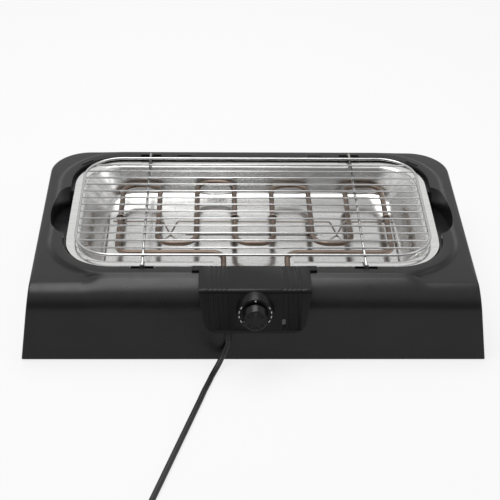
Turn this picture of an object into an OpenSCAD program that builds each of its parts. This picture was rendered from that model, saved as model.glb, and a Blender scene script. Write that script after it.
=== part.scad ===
// Electric table grill: black moulded shell, polished drip tray, lift-out control box with
// its heating element, and a lift-off wire grill.
// X runs to the right, Y away from the user and Z up. The origin lies on the table, under the
// middle of the grill. Inside the modules the deck is the reference: at_deck() puts its centre
// at the deck's middle and Z = 0 on its flat surface.

/* [Shell] */
// Width of the flat deck
deck_w = 500; // [480:1:560]
// Depth of the flat deck, from its front crease to its back edge
deck_d = 286; // [282:1:330]
// Height of the shell, without its feet
shell_h = 85; // [76:1:110]
// How far the sides and the back lean out between deck and bottom edge
flare = 11.25; // [6:0.25:20]
// Radius of the deck's rear corners
rear_r = 48; // [36:1:60]
// Thickness of the shell's walls
wall = 2.6; // [2:0.1:3.4]
// Flat strip between the front crease and the rounded shoulder
front_flat = 4.5; // [3:0.5:8]
// Radius of the rounded front shoulder
shoulder_r = 30; // [24:1:34]
// Lean of the front wall below the shoulder, in degrees
front_lean = 5.7; // [3:0.1:8]
// Height of the raised band around the tray
band_h = 4.5; // [3:0.5:6]
// Width of the raised band's flat top
band_w = 12.5; // [11:0.5:15]
// Length of a finger scoop along the tray's side
scoop_l = 106; // [80:1:120]
// Reach of a finger scoop beyond the edge of the well
scoop_w = 19.5; // [15:0.5:21]
// Depth of a finger scoop below the deck
scoop_depth = 24; // [16:1:30]

/* [Drip tray] */
// Width of the tray over its rolled edge
tray_w = 435; // [420:1:440]
// Depth of the tray over its rolled edge
tray_d = 244.8; // [240:0.4:248]
// Corner radius of the tray's rolled edge
tray_r = 57; // [50:1:64]
// Gap between the tray's edge and the well
tray_gap = 3.3; // [2:0.1:4]
// Width of the tray's flat rim
tray_rim = 13; // [11:0.5:15]
// Depth of the tray's floor below the deck
tray_depth = 35; // [32:1:44]
// Sheet thickness of the tray
sheet = 1; // [0.8:0.1:1.4]
// Slope of the tray's side walls, measured across
side_slope = 28; // [20:1:36]
// Slope of the tray's front and back walls, measured across
end_slope = 12; // [8:1:16]
// Radius of the tray's rolled edge
bead_r = 1.5; // [1.2:0.1:1.8]

/* [Wire grill] */
// Width of the grill between the middles of its side wires
grill_w = 410; // [390:1:414]
// Depth of the grill between the middles of its front and back wires
grill_d = 222; // [210:1:226]
// Corner radius of the grill's outer ring
grill_r = 45; // [36:1:54]
// Diameter of the grill's outer ring
ring_d = 3.2; // [2.6:0.1:4]
// Diameter of a lengthwise wire
wire_d = 2.2; // [1.8:0.1:2.6]
// Number of lengthwise wires
wire_count = 13; // [9:1:15]
// Diameter of the two cross rods
rod_d = 3.2; // [2.8:0.1:4]
// Distance of each cross rod from the middle
rod_x = 126; // [110:1:136]
// Thickness of a grill rest's floor and walls
rest_t = 0.8; // [0.6:0.1:1.2]
// Height of a grill rest's two ribs above the raised band
rest_h = 2; // [1:0.1:3]
// Depth of the pocket in the raised band that holds a grill rest
rest_drop = 4; // [3.5:0.1:5]

/* [Heating element] */
// Diameter of the heating element's tube
tube_d = 6.5; // [6:0.1:7]
// Distance between two legs of the element
leg_pitch = 46; // [43:0.5:47]
// Middle of the element's tube below the deck
element_z = 15; // [13:0.5:17]
// Radius of the four bends between the loops and the terminals, along the tube's middle
bend_r = 14; // [12:0.5:18]
// Radius of the bends in the element's loops, along the tube's middle
loop_r = 18; // [14:0.5:20]
// Offset of the whole element to the right of the shell's middle
element_x = 2.5; // [0:0.5:4]
// Distance of each terminal leg from the element's middle
terminal_x = 36.8; // [34:0.2:38]
// Diameter of the support wire under the element
support_d = 2.2; // [1.8:0.1:2.6]

/* [Control box] */
// Width of the control box at its top
box_w = 125; // [120:1:132]
// Height of the control box's top above the deck
box_rise = 7.5; // [7:0.5:10]
// Depth of the control box's bottom below the deck
box_drop = 45.5; // [42:0.5:50]
// Lean of the control box's sides, in degrees
box_lean = 7.5; // [4:0.5:10]
// Radius of the control box's lower corners
box_r = 16; // [10:0.5:20]
// Lean of the control box's front face, in degrees
face_lean = 8.4; // [6:0.2:10]
// Reach of the front face in front of the deck's crease, at deck height
face_reach = 39.3; // [36:0.1:44]
// Thickness of the control box's walls
box_wall = 2.4; // [2:0.1:3]
// Half width over the two ears that rest on the shell
ear_x = 70; // [67:0.5:76]
// Clearance between the control box and the shell
box_gap = 0.5; // [0.3:0.1:1]
// Number of grooves in each of the two groups on the face
groove_count = 5; // [3:1:6]

/* [Dial] */
// Radius of the dial boss where it leaves the face
boss_r = 22; // [21:0.5:24]
// Radius of the dial boss at its front
boss_front_r = 20; // [18:0.5:21]
// Depth of the dial's axis below the deck
dial_z = 16; // [15.5:0.5:20]
// Reach of the boss in front of the face, at deck height
boss_l = 11.45; // [10:0.05:14]
// Length of the knob
knob_l = 12; // [10:0.5:16]
// Radius of the knob at its back
knob_r = 14.5; // [12:0.5:16]
// Radius of the thermostat's shaft
shaft_r = 3; // [2.5:0.1:3.5]

/* [Cord] */
// Diameter of the mains cord
cord_d = 6.5; // [6:0.1:7]
// Turns in the coil of spare cord
coil_turns = 4.25; // [3.25:1:5.25]
// Radius of the coil's outer turn
coil_r = 42.5; // [40:0.5:46]

/* [Hidden] */
$fn = 96;

corner_steps = 8;
small = 0.01;
foot_h = 2;
foot_r = 9;
pad_size = 52;
pad_t = 3;

// Heights and plan lines, measured from the deck's centre
deck_z = shell_h + foot_h;
front_y = -deck_d / 2;
back_y = deck_d / 2;
slope = flare / shell_h;
shell_back_y = back_y + flare;
tray_y = -3;
well_w = tray_w + 2 * tray_gap;
well_d = tray_d + 2 * tray_gap;
well_r = tray_r + tray_gap;
well_front_y = tray_y - well_d / 2;
well_back_y = tray_y + well_d / 2;
skirt_h = 14;
ledge_w = 8;
ledge_t = 2.4;
rim_top = band_h - 4;
ledge_z = rim_top - 2 * bead_r;
scoop_y = -5.5;
scoop_in = 2.5;
shell_cut_w = 100;
tray_cut_w = 92;

// Control box
box_back_y = well_front_y - wall - 0.3;
box_top_r = 5;
ear_l = 9.6;
cover_in = 2.4;
cover_t = 2;
bush_r = 5;
bush_flange_r = 7.4;
bush_flange_t = 1.4;
bush_l = 7;
screw_r = 1.2;
screw_head_r = 2.9;
screw_head_h = 1.6;
screw_l = 11;
post_r = 4;
cover_y = box_back_y - cover_in;
groove_w = 1;
groove_deep = 0.7;
groove_x = 31;
groove_pitch = 5;
lens_x = 31.8;
lens_z = -30;
lens_w = 4;
lens_h = 7.5;
boss_face_y = front_y - face_reach - boss_l;
boss_wall = 3;
knob_gap = 0.5;
knob_front_y = boss_face_y - knob_gap - knob_l;
mid_y = (shell_back_y + knob_front_y) / 2;

// Cable entry, under the left half of the box
entry_x = -29.5;
entry_in = 7;
entry_y = face_y(-box_drop) + entry_in;
entry_tilt = 11.5;
relief_r = 4;
relief_tip_r = 3.6;
relief_out = 9.9;
relief_in = 11;
sheath_bend = 9;
entry_dir = [0, -sin(entry_tilt), -cos(entry_tilt)];
entry_top = [entry_x, entry_y, -box_drop] - relief_in * entry_dir;
sheath_start = entry_top - 2 * entry_dir;
sheath_z = sheath_start[2] + sheath_bend * (1 - sin(entry_tilt));
sheath_y = cover_y - cover_t - 16;
clamp_y = (sheath_start[1] + sheath_bend * cos(entry_tilt) + sheath_y) / 2;
clamp_half = 7.5;
clamp_z = sheath_z + cord_d / 2 - 0.6;
clamp_t = 3;

// Terminal block, its three ways and the leads
block = [24, 14, 9];
block_x = -8;
block_y = cover_y - cover_t - 26;
block_z = -box_drop + box_wall;
block_back = block_y + block[1];
way_x = [for (i = [0:2]) block_x + 4 + 8 * i];
way_z = block_z + 5;
lead_r = 0.95;
lead_gap = 0.2;
core_z = sheath_z - 0.8;
thermostat_y = face_y(0) + 4.5;
thermostat_l = 16;
blade_x = 8;
blade_l = 7;
blade_end = thermostat_y + thermostat_l + blade_l;
blade_z = -dial_z + 5.4;
pin_step = 2;
pin_end = 11;

// Grill
rod_z = band_h + rest_t + rod_d / 2;
weld = 0.15;
ring_z = rod_z + rod_d / 2 + ring_d / 2 - weld;
wire_z = rod_z + rod_d / 2 + wire_d / 2 - weld;
rest_w = 27;
rest_d = 5.5;
rest_cell = 3.6;
rest_gap = 0.15;
rest_peg_r = 1.4;
rod_over = 2.6;

// Element
leg_x = [for (i = [-3.5:1:3.5]) element_x + i * leg_pitch];
pin_x = [element_x - terminal_x, element_x + terminal_x];
loop_back_y = [84, 92, 84, 84];
loop_front_y = -51;
run_y = -70.7;
tube_end_y = cover_y - 15;
pin_y = tube_end_y - pin_end - lead_r - lead_gap;
support_y = 5;
support_z = -element_z - tube_d / 2 - support_d / 2 - 0.1;
foot_x = 101;
foot_half = 9;
loop_step = 1.4;

// Route of the cord from the strain relief to the coil, in the part's own frame
entry_tip = [entry_x, entry_y - mid_y, deck_z - box_drop] + relief_out * entry_dir;
cord_route = [
    entry_tip, entry_tip + cord_d * entry_dir, [-32, -161, 19], [-36, -165.5, 12],
    [-40, -172.5, 7], [-44, -180.5, 4.2], [-47.5, -189.5, 3.3], [-51, -201, 3.3],
    [-55.5, -215, 3.3], [-60, -231, 3.3], [-65, -248, 3.3], [-70, -265, 3.3],
    [-75, -282, 3.3], [-80, -299, 3.3], [-85, -316, 3.3], [-90, -333, 3.3],
    [-95, -350, 3.3], [-100, -367, 3.3], [-105, -384, 3.4], [-110, -401, 3.9],
    [-115, -418, 4.6], [-120, -435, 4.6]
];
cord_sides = 10;
coil_sides = 6;
coil_rings = 24;
coil_lift = 4.6;
coil_pitch = 7.3;
layer_step = 7.2;
coil_drop = 2.9;
coil_tail = 27;
coil_dir = unit([-5, -17, 0]);
coil_side = [-coil_dir[1], coil_dir[0], 0];
coil_start = [-120, -435, coil_lift] + cord_d * coil_dir;
coil_centre = coil_start + coil_r * coil_side;
coil_angle = atan2(-coil_side[1], -coil_side[0]);
coil_sweep = coil_turns * 360;
plug_z = coil_lift + layer_step - coil_drop;
plug_relief = 20;
plug_l = 36;
plug_w = 34;
prong_r = 2;
prong_l = 19;
prong_gap = 19;

// ---- shared shapes ----

function unit(v) = v / norm(v);

// Points of an arc
function arc(c, r, a0, a1, n = corner_steps) =
    [for (i = [0:n]) let (a = a0 + (a1 - a0) * i / n) c + r * [cos(a), sin(a)]];

// Outline of a rounded rectangle about the origin
function round_rect(w, d, r, n = corner_steps) = concat(
    arc([w / 2 - r, d / 2 - r], r, 0, 90, n),
    arc([r - w / 2, d / 2 - r], r, 90, 180, n),
    arc([r - w / 2, r - d / 2], r, 180, 270, n),
    arc([w / 2 - r, r - d / 2], r, 270, 360, n));

module at_deck() {
    translate([0, -mid_y, deck_z]) children();
}

// Flat plate with rounded corners between two heights
module plate(w, d, r, z0, z1) {
    translate([0, 0, z0]) linear_extrude(z1 - z0) polygon(round_rect(w, d, r));
}

// Plate that follows the tray's outline, grown by a margin all round
module tray_plate(grow, z0, z1) {
    translate([0, tray_y, 0]) plate(tray_w + 2 * grow, tray_d + 2 * grow, tray_r + grow, z0, z1);
}

// Outline in the X-Z plane pulled out along Y
module along_y(y0, y1) {
    translate([0, y1, 0]) rotate([90, 0, 0]) linear_extrude(y1 - y0) children();
}

// Outline in the Y-Z plane pulled out along X
module along_x(half) {
    rotate([90, 0, 90]) translate([0, 0, -half]) linear_extrude(2 * half) children();
}

module rod(p, q, r) {
    v = q - p;
    translate(p) rotate([0, acos(v[2] / norm(v)), atan2(v[1], v[0])]) cylinder(h = norm(v), r = r);
}

// Wire through a list of points, with ball joints between its straight lengths
module wire(points, r) {
    for (i = [0:len(points) - 2]) rod(points[i], points[i + 1], r);
    for (i = [1:1:len(points) - 2]) translate(points[i]) sphere(r = r);
}

// Quarter bend that turns from heading a to heading b at corner p
module quarter_bend(p, a, b, bend, r) {
    left = a[0] * b[1] - a[1] * b[0] > 0;
    from = left ? -b : a;
    translate([p[0] - bend * a[0] + bend * b[0], p[1] - bend * a[1] + bend * b[1], 0])
        rotate([0, 0, atan2(from[1], from[0])])
        rotate_extrude(angle = 90) translate([bend, 0]) circle(r = r);
}

// Tube in a level plane through square corners; bends holds each corner's radius, 0 at an end
module bent_tube(points, bends, r) {
    n = len(points);
    closed = bends[0] > 0;
    for (i = [0:closed ? n - 1 : n - 2]) {
        p = points[i];
        q = points[(i + 1) % n];
        a = (q - p) / norm(q - p);
        cut_p = bends[i];
        cut_q = bends[(i + 1) % n];
        rod([p[0] + cut_p * a[0], p[1] + cut_p * a[1], 0],
            [q[0] - cut_q * a[0], q[1] - cut_q * a[1], 0], r);
        if (cut_q > 0) {
            s = points[(i + 2) % n];
            quarter_bend(q, a, (s - q) / norm(s - q), cut_q, r);
        }
    }
}

// Corners of a rectangle about the tray's middle
function tray_corners(w, d) = [
    [-w / 2, tray_y - d / 2], [w / 2, tray_y - d / 2], [w / 2, tray_y + d / 2], [-w / 2, tray_y + d / 2]];

// ---- cord ----

function ring(c, t, ref, r, n) = let (u = unit(cross(ref, t)), v = cross(t, u))
    [for (k = [0:n - 1]) c + r * cos(360 * k / n) * u + r * sin(360 * k / n) * v];

function heading(path, i) = let (last = len(path) - 1)
    unit(path[min(i + 1, last)] - path[max(i - 1, 0)]);

// A path of straight lengths with its corners rounded off
function eased(path, cut) = concat([path[0]],
    [for (i = [1:1:len(path) - 2])
        let (p = path[i], a = p + cut * unit(path[i - 1] - p), b = p + cut * unit(path[i + 1] - p))
            for (t = [0, 0.33, 0.67, 1]) (1 - t) * (1 - t) * a + 2 * t * (1 - t) * p + t * t * b],
    [path[len(path) - 1]]);

// Closed tube through the points of a path; ref is never along the path
module swept_tube(path, ref, r, n) {
    rings = [for (i = [0:len(path) - 1]) ring(path[i], heading(path, i), ref, r, n)];
    points = [for (loop = rings) for (p = loop) p];
    last = (len(path) - 1) * n;
    sides = [for (i = [0:len(path) - 2]) for (k = [0:n - 1]) for (half = [0, 1])
        let (a = i * n + k, b = i * n + (k + 1) % n)
            half == 0 ? [a, a + n, b] : [b, a + n, b + n]];
    ends = concat([[for (k = [0:n - 1]) k]], [[for (k = [n - 1:-1:0]) last + k]]);
    polyhedron(points, concat(sides, ends));
}

// Radius and height of the coil after turning by angle t: in, then up a layer and out again
function coil_radius(t) = coil_r - coil_pitch * min(t, coil_sweep - t) / 360;
function coil_height(t) = let (s = (t - coil_sweep / 2) / 180 + 0.5, e = max(0, min(1, s)))
    coil_lift + layer_step * e * e * (3 - 2 * e);
function coil_point(t) = [coil_centre[0] + coil_radius(t) * cos(coil_angle + t),
    coil_centre[1] + coil_radius(t) * sin(coil_angle + t), coil_height(t)];

tail_angle = coil_angle + coil_sweep + 90;
tail_dir = [cos(tail_angle), sin(tail_angle), 0];
function tail_point(s) = let (e = max(0, min(1, (s - 6) / 14)))
    coil_point(coil_sweep) + s * tail_dir - [0, 0, coil_drop * e * e * (3 - 2 * e)];

coil_path = concat(
    [coil_start - cord_d * coil_dir],
    [for (i = [0:coil_turns * coil_rings]) coil_point(i * 360 / coil_rings)],
    [for (s = [6, 10, 13, 16, 20, coil_tail]) tail_point(s)]);

function span(path, i = 0) = i >= len(path) - 1 ? 0 : norm(path[i + 1] - path[i]) + span(path, i + 1);

// Least distance between turns, over pairs of points at least half a turn apart
coil_gaps = [for (i = [0:len(coil_path) - 1]) for (j = [i + coil_rings / 2:1:len(coil_path) - 1])
    norm(coil_path[i] - coil_path[j]) - cord_d];
echo(coil_least_gap = min(coil_gaps), run_length = span(cord_route), coil_length = span(coil_path));

// ---- shell ----

// Front of the shell seen from the side: flat strip, rounded shoulder and leaning wall
module front_outline(inset) {
    centre = [front_y - front_flat, -shoulder_r];
    r = shoulder_r - inset;
    low = -shell_h - (inset > 0 ? 1 : 0);
    knee = centre + r * [-cos(front_lean), sin(front_lean)];
    polygon(concat([[back_y + 60, low], [back_y + 60, -inset]],
        arc(centre, r, 90, 180 - front_lean, 10),
        [[knee[0] - (knee[1] - low) * tan(front_lean), low]]));
}

// The shell's outer form, or its hollow when inset by the wall
module shell_solid(inset) {
    reach = 160;
    depth = deck_d + reach;
    low = -shell_h - (inset > 0 ? 1 : 0);
    intersection() {
        hull() {
            translate([0, back_y - depth / 2, 0])
                plate(deck_w - 2 * inset, depth - 2 * inset, rear_r - inset, -inset - small, -inset);
            translate([0, back_y - depth / 2, 0])
                plate(deck_w + 2 * flare - 2 * inset, depth + 2 * flare - 2 * inset,
                    rear_r + flare - inset, low, low + small);
        }
        along_x(deck_w) front_outline(inset);
    }
}

// Raised band around the tray, with a sloping edge
module band_solid(inset) {
    hull() {
        tray_plate(tray_gap + band_w - inset, band_h - inset - small, band_h - inset);
        tray_plate(tray_gap + band_w + band_h - inset, -inset - 1, -inset);
    }
}

module scoop_outline(grow) {
    centre = well_w / 2 - scoop_in;
    points = [for (a = [0:15:345])
        [centre + (scoop_w + scoop_in + grow) * cos(a), scoop_y + (scoop_l / 2 + grow) * sin(a)]];
    polygon(points);
}

// Walls and floor of a finger scoop, open towards the tray: up to the ledge inside the well,
// up into the band beyond it and up into the deck's skin at the outer end
module scoop_walls() {
    edge = well_w / 2;
    low = -scoop_depth - 2 * wall;
    intersection() {
        translate([0, 0, -scoop_depth - wall])
            linear_extrude(scoop_depth + 2 * wall + band_h) scoop_outline(wall);
        for (step = [[edge - ledge_w, edge, ledge_z - ledge_t / 2],
            [edge, edge + band_w + 1, band_h - wall / 2],
            [edge + band_w + 1, edge + 60, -wall / 2]])
            translate([step[0], scoop_y - scoop_l, low]) cube([step[1] - step[0], 2 * scoop_l, step[2] - low]);
    }
}

module both_sides() {
    children();
    mirror([1, 0, 0]) children();
}

// Places something at the four feet
module at_feet() {
    x = deck_w / 2 + flare - 24;
    both_sides() {
        translate([x, front_y - 18, -shell_h]) children();
        translate([x, shell_back_y - 30, -shell_h]) children();
    }
}

// Dark slots in the raised band behind the tray
module band_slots() {
    slot = [18, 2.2, band_h + 6];
    both_sides() {
        translate([83 - slot[0] / 2, well_back_y + 1.6, -2]) cube(slot);
        translate([deck_w / 2 - 45, well_back_y - 17, -2]) rotate([0, 0, -42])
            translate([-slot[0] / 2, 0, 0]) cube(slot);
    }
}

// Places something at the four grill rests; +Y is away from the tray there
module at_rests() {
    both_sides() {
        translate([rod_x, well_back_y + 0.3, band_h]) children();
        translate([rod_x, well_front_y - 0.3, band_h]) mirror([0, 1, 0]) children();
    }
}

module rest_pegs(r, l) {
    for (x = [-rest_w / 3, rest_w / 3]) translate([x, rest_d / 2, -rest_drop - l]) cylinder(h = l, r = r);
}

// Pocket for a grill rest, open towards the tray, and the block that the pocket is cut from
module rest_pocket() {
    translate([-rest_w / 2 - rest_gap, -3, -rest_drop])
        cube([rest_w + 2 * rest_gap, rest_d + rest_gap + 3, rest_drop + 2]);
}

module rest_block() {
    translate([-rest_w / 2 - wall, -0.3, -rest_drop - wall])
        cube([rest_w + 2 * wall, rest_d + wall + 0.3, rest_drop + wall / 2]);
}

module base_shell() {
    color([0.17, 0.17, 0.18]) at_deck() difference() {
        union() {
            difference() {
                union() {
                    shell_solid(0);
                    band_solid(0);
                }
                shell_solid(wall);
                band_solid(wall);
                tray_plate(tray_gap, -skirt_h - 1, band_h + 1);
            }
            difference() {
                tray_plate(tray_gap + wall, -skirt_h, 0);
                tray_plate(tray_gap, -skirt_h - 1, 1);
            }
            difference() {
                tray_plate(tray_gap + wall / 2, ledge_z - ledge_t, ledge_z);
                tray_plate(tray_gap - ledge_w, ledge_z - ledge_t - 1, ledge_z + 1);
            }
            both_sides() scoop_walls();
            at_rests() rest_block();
            intersection() {
                difference() {
                    along_y(front_y - 60, well_front_y - wall / 2) polygon(box_outline(box_gap + wall, 0));
                    along_y(front_y - 61, well_front_y) polygon(box_outline(box_gap, 20));
                }
                shell_solid(0);
            }
            intersection() {
                at_feet() translate([-pad_size / 2, -pad_size / 2, 0]) cube([pad_size, pad_size, pad_t]);
                shell_solid(0);
            }
        }
        both_sides() translate([0, 0, -scoop_depth]) linear_extrude(scoop_depth + 20) scoop_outline(0);
        along_y(front_y - 60, well_front_y - wall) polygon(box_outline(box_gap, 20));
        translate([-shell_cut_w / 2, well_front_y - wall - 1, -element_z - 8])
            cube([shell_cut_w, wall + ledge_w + 2, 60]);
        translate([entry_x, front_y - 20, -box_drop - box_gap - 6]) rotate([90, 0, 0])
            cylinder(h = 60, r = 6.2);
        translate([entry_x - 6.2, front_y - 60, -box_drop - box_gap - 6]) cube([12.4, 40, 12]);
        band_slots();
        at_rests() {
            rest_pocket();
            rest_pegs(rest_peg_r + 0.1, wall + 3);
        }
        at_feet() translate([0, 0, -1]) cylinder(h = pad_t + 2, r = 3.1);
    }
}

// Thin-walled insert: an open box with two ribs beside the rod's seat, and two pegs below
module grill_rests() {
    seat_w = rest_cell + 2 * rest_t;
    color([0.12, 0.12, 0.12]) at_deck() at_rests() {
        translate([-rest_w / 2, 0, -rest_drop]) difference() {
            cube([rest_w, rest_d, rest_drop]);
            translate([rest_t, -1, rest_t]) cube([rest_w - 2 * rest_t, rest_d - rest_t + 1, rest_drop]);
        }
        translate([-seat_w / 2, 0, -rest_drop + rest_t]) cube([seat_w, rest_d - rest_t, rest_drop]);
        for (x = [-seat_w / 2, rest_cell / 2])
            translate([x, 0, rest_t]) cube([rest_t, rest_d - rest_t, rest_h - rest_t]);
        rest_pegs(rest_peg_r, wall + 2);
    }
}

// Push-in feet: disc below the pad, stem through it and a head above it
module rubber_feet() {
    color([0.08, 0.08, 0.08]) at_deck() at_feet() {
        translate([0, 0, -foot_h]) cylinder(h = foot_h, r = foot_r);
        cylinder(h = pad_t, r = 3);
        translate([0, 0, pad_t]) cylinder(h = 1.5, r = 4.5);
    }
}

// ---- drip tray ----

// The pan's form between rim and floor, inset by a thickness
module pan(inset, lift) {
    top_w = tray_w - 2 * tray_rim;
    top_d = tray_d - 2 * tray_rim;
    top_r = tray_r - tray_rim;
    hull() {
        translate([0, tray_y, 0])
            plate(top_w - 2 * inset, top_d - 2 * inset, top_r - inset, rim_top - small, rim_top + lift);
        translate([0, tray_y, 0])
            plate(top_w - 2 * side_slope - 2 * inset, top_d - 2 * end_slope - 2 * inset,
                top_r - end_slope - inset, inset - tray_depth, inset - tray_depth + small);
    }
}

module drip_tray() {
    bead = tray_corners(tray_w - 2 * bead_r, tray_d - 2 * bead_r);
    color([0.78, 0.78, 0.76]) at_deck() difference() {
        union() {
            tray_plate(-bead_r, rim_top - sheet, rim_top);
            pan(0, 0);
            translate([0, 0, rim_top - bead_r]) bent_tube(bead, [for (p = bead) tray_r - bead_r], bead_r);
        }
        pan(sheet, 1);
        translate([-tray_cut_w / 2, tray_y - tray_d, -element_z - 7])
            cube([tray_cut_w, tray_d / 2 + 25, 60]);
    }
}

// ---- control box ----

// Right half of the box's side line at a height
function box_half(z) = box_w / 2 - (box_rise - z) * tan(box_lean);

// Front view of the control box, grown by g and drawn up to extra above its top
function box_outline(g, extra) =
    let (r = box_r + g, z = -box_drop + box_r, x = box_half(z) - box_r / cos(box_lean),
        top = box_rise + (extra == 0 ? min(g, 0) : extra),
        top_x = box_half(top) + g / cos(box_lean))
    concat([[top_x, top]], arc([x, z], r, -box_lean, -90, 6),
        arc([-x, z], r, -90, box_lean - 180, 6), [[-top_x, top]]);

// Front face of the box at a height
function face_y(z) = front_y - face_reach + z * tan(face_lean);

// Side view of the control box, inset by g
function box_side(g) =
    let (r = box_top_r - g, z = box_rise - box_top_r,
        y = face_y(z) + box_top_r / cos(face_lean), low = -box_drop + g)
    concat([[box_back_y, box_rise - g]], arc([y, z], r, 90, 180 - face_lean, 6),
        [[face_y(low) + g / cos(face_lean), low], [box_back_y, low]]);

// The box's form, inset by g; the hollow runs out through its back
module box_solid(g) {
    back = g > 0 ? [[box_back_y + 5, -box_drop + g], [box_back_y + 5, box_rise - g]] : [];
    intersection() {
        along_y(front_y - 80, box_back_y + (g > 0 ? 4 : 0)) polygon(box_outline(-g, 0));
        along_x(box_w) polygon(concat(box_side(g), back));
    }
}

// Turns +Z into the direction that the dial faces, at the dial's centre
module at_dial(y) {
    translate([0, y, -dial_z]) rotate([90, 0, 0]) children();
}

// Grooves over the top and down the face, in two groups
module face_grooves() {
    for (side = [-1, 1]) for (i = [0:groove_count - 1])
        translate([side * (groove_x + i * groove_pitch), 0, 0]) difference() {
            along_x(groove_w / 2) polygon(concat([[box_back_y - 1, box_rise + 1]],
                arc([face_y(box_rise), box_rise], 1, 90, 180, 2),
                [[face_y(0) - 3, -3], [face_y(-36) - 3, -36], [face_y(-36) + 2, -38],
                [box_back_y - 1, -38]]));
            along_x(groove_w) polygon(box_side(groove_deep));
        }
}

// Places something at the four corners of the back cover, facing back
module at_cover_screws(y) {
    for (p = [[-55.5, 1.2], [55.5, 1.2], [-44, -39.5], [44, -39.5]])
        translate([p[0], y, p[1]]) rotate([90, 0, 0]) children();
}

// Axis of the cable entry, with +Z pointing down and out along the cord
module at_entry() {
    translate([entry_x, entry_y, -box_drop]) rotate([180 - entry_tilt, 0, 0]) children();
}

// Places something at the two posts of the cord clamp, at a height
module at_clamp(z) {
    for (x = [-clamp_half, clamp_half]) translate([entry_x + x, clamp_y, z]) children();
}

// Places something on the axes of the element's two ends, facing front
module at_terminals(y) {
    for (x = pin_x) translate([x, y, -element_z]) rotate([90, 0, 0]) children();
}

module lens_outline(grow) {
    translate([lens_x, lens_z]) polygon(round_rect(lens_w + grow, lens_h + grow, lens_w / 2));
}

module control_housing() {
    boss_depth = face_y(-dial_z) + 6 - boss_face_y;
    color([0.15, 0.15, 0.15]) at_deck() difference() {
        union() {
            difference() {
                union() {
                    box_solid(0);
                    at_dial(boss_face_y + boss_depth)
                        cylinder(h = boss_depth, r1 = boss_r + 1, r2 = boss_front_r);
                }
                box_solid(box_wall);
                at_dial(boss_face_y + boss_depth + 2)
                    cylinder(h = boss_depth + 2 - boss_wall, r = boss_front_r - boss_wall);
            }
            both_sides() translate([box_w / 2 - 3, box_back_y - ear_l, band_h])
                cube([ear_x - box_w / 2 + 3, ear_l, box_rise - band_h]);
            intersection() {
                at_cover_screws(cover_y - cover_t) cylinder(h = screw_l + 3, r = post_r);
                box_solid(0);
            }
            at_clamp(-box_drop + 1) cylinder(h = clamp_z - 0.05 - (-box_drop + 1), r = 2.6);
        }
        face_grooves();
        at_dial(boss_face_y + boss_wall + 1) cylinder(h = boss_wall + 2, r = 5.1);
        along_y(face_y(lens_z) - 10, face_y(lens_z) + 8) lens_outline(0.2);
        at_cover_screws(cover_y - cover_t + 1) cylinder(h = screw_l + 2, r = screw_r + 0.05);
        at_entry() translate([0, 0, -8]) cylinder(h = 20, r = relief_r + 0.1);
        at_clamp(-box_drop + box_wall + 1) cylinder(h = 30, r = 1.15);
    }
}

module housing_back() {
    color([0.55, 0.55, 0.56]) at_deck() difference() {
        along_y(cover_y - cover_t, cover_y) polygon(box_outline(-box_wall - 0.2, 0));
        at_cover_screws(cover_y + 1) cylinder(h = cover_t + 2, r = screw_r + 0.5);
        at_terminals(cover_y + 1) cylinder(h = cover_t + 2, r = bush_r + 0.1);
    }
}

module housing_screws() {
    color([0.7, 0.7, 0.72]) at_deck() {
        at_cover_screws(cover_y + screw_head_h) cylinder(h = screw_head_h, r = screw_head_r);
        at_cover_screws(cover_y + 0.1) cylinder(h = screw_l, r = screw_r);
    }
}

// Corners of one of the four loops: up its left leg, over and down its right leg
function loop_points(i) = let (y = loop_back_y[i], a = leg_x[2 * i], b = leg_x[2 * i + 1])
    [[a, loop_front_y], [a, y], [b, y], [b, loop_front_y]];

// The element: in at the left terminal, round the eight legs, out at the right
inner_corners = [for (i = [0:3]) for (p = loop_points(i)) p];
element_points = concat(
    [[pin_x[0], tube_end_y], [pin_x[0], run_y], [leg_x[0], run_y]],
    [for (i = [1:14]) inner_corners[i]],
    [[leg_x[7], run_y], [pin_x[1], run_y], [pin_x[1], tube_end_y]]);
element_bends = concat([0, bend_r, bend_r], [for (i = [1:14]) loop_r], [bend_r, bend_r, 0]);

module heating_element() {
    color([0.42, 0.34, 0.28]) at_deck() translate([0, 0, -element_z])
        bent_tube(element_points, element_bends, tube_d / 2);
}

// Flanged bushes that hold the element's two ends in the back cover
module element_bushes() {
    color([0.6, 0.58, 0.5]) at_deck() at_terminals(cover_y + bush_flange_t) difference() {
        union() {
            cylinder(h = bush_flange_t, r = bush_flange_r);
            cylinder(h = bush_l, r = bush_r);
        }
        translate([0, 0, -1]) cylinder(h = bush_l + 3, r = tube_d / 2 + 0.03);
    }
}

module terminal_pins() {
    color([0.72, 0.7, 0.62]) at_deck() at_terminals(tube_end_y) {
        cylinder(h = pin_step, r = 2.4);
        cylinder(h = pin_end, r = 1.3);
    }
}

// Wire across under the legs, with two feet on the tray's floor and a loop round four legs
module support_wire() {
    r = support_d / 2;
    low = -tray_depth + sheet + r;
    end_x = 3.5 * leg_pitch + foot_half;
    color([0.4, 0.36, 0.32]) at_deck() translate([element_x, support_y, 0]) {
        wire([[-end_x, 0, support_z], [-foot_x - foot_half, 0, support_z], [-foot_x, 0, low],
            [foot_half - foot_x, 0, support_z], [foot_x - foot_half, 0, support_z],
            [foot_x, 0, low], [foot_x + foot_half, 0, support_z], [end_x, 0, support_z]], r);
        for (i = [-3.5, -0.5, 0.5, 3.5]) translate([i * leg_pitch, loop_step, -element_z])
            rotate([90, 0, 0]) rotate_extrude() translate([tube_d / 2 + r + 0.1, 0]) circle(r = r);
    }
}

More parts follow.
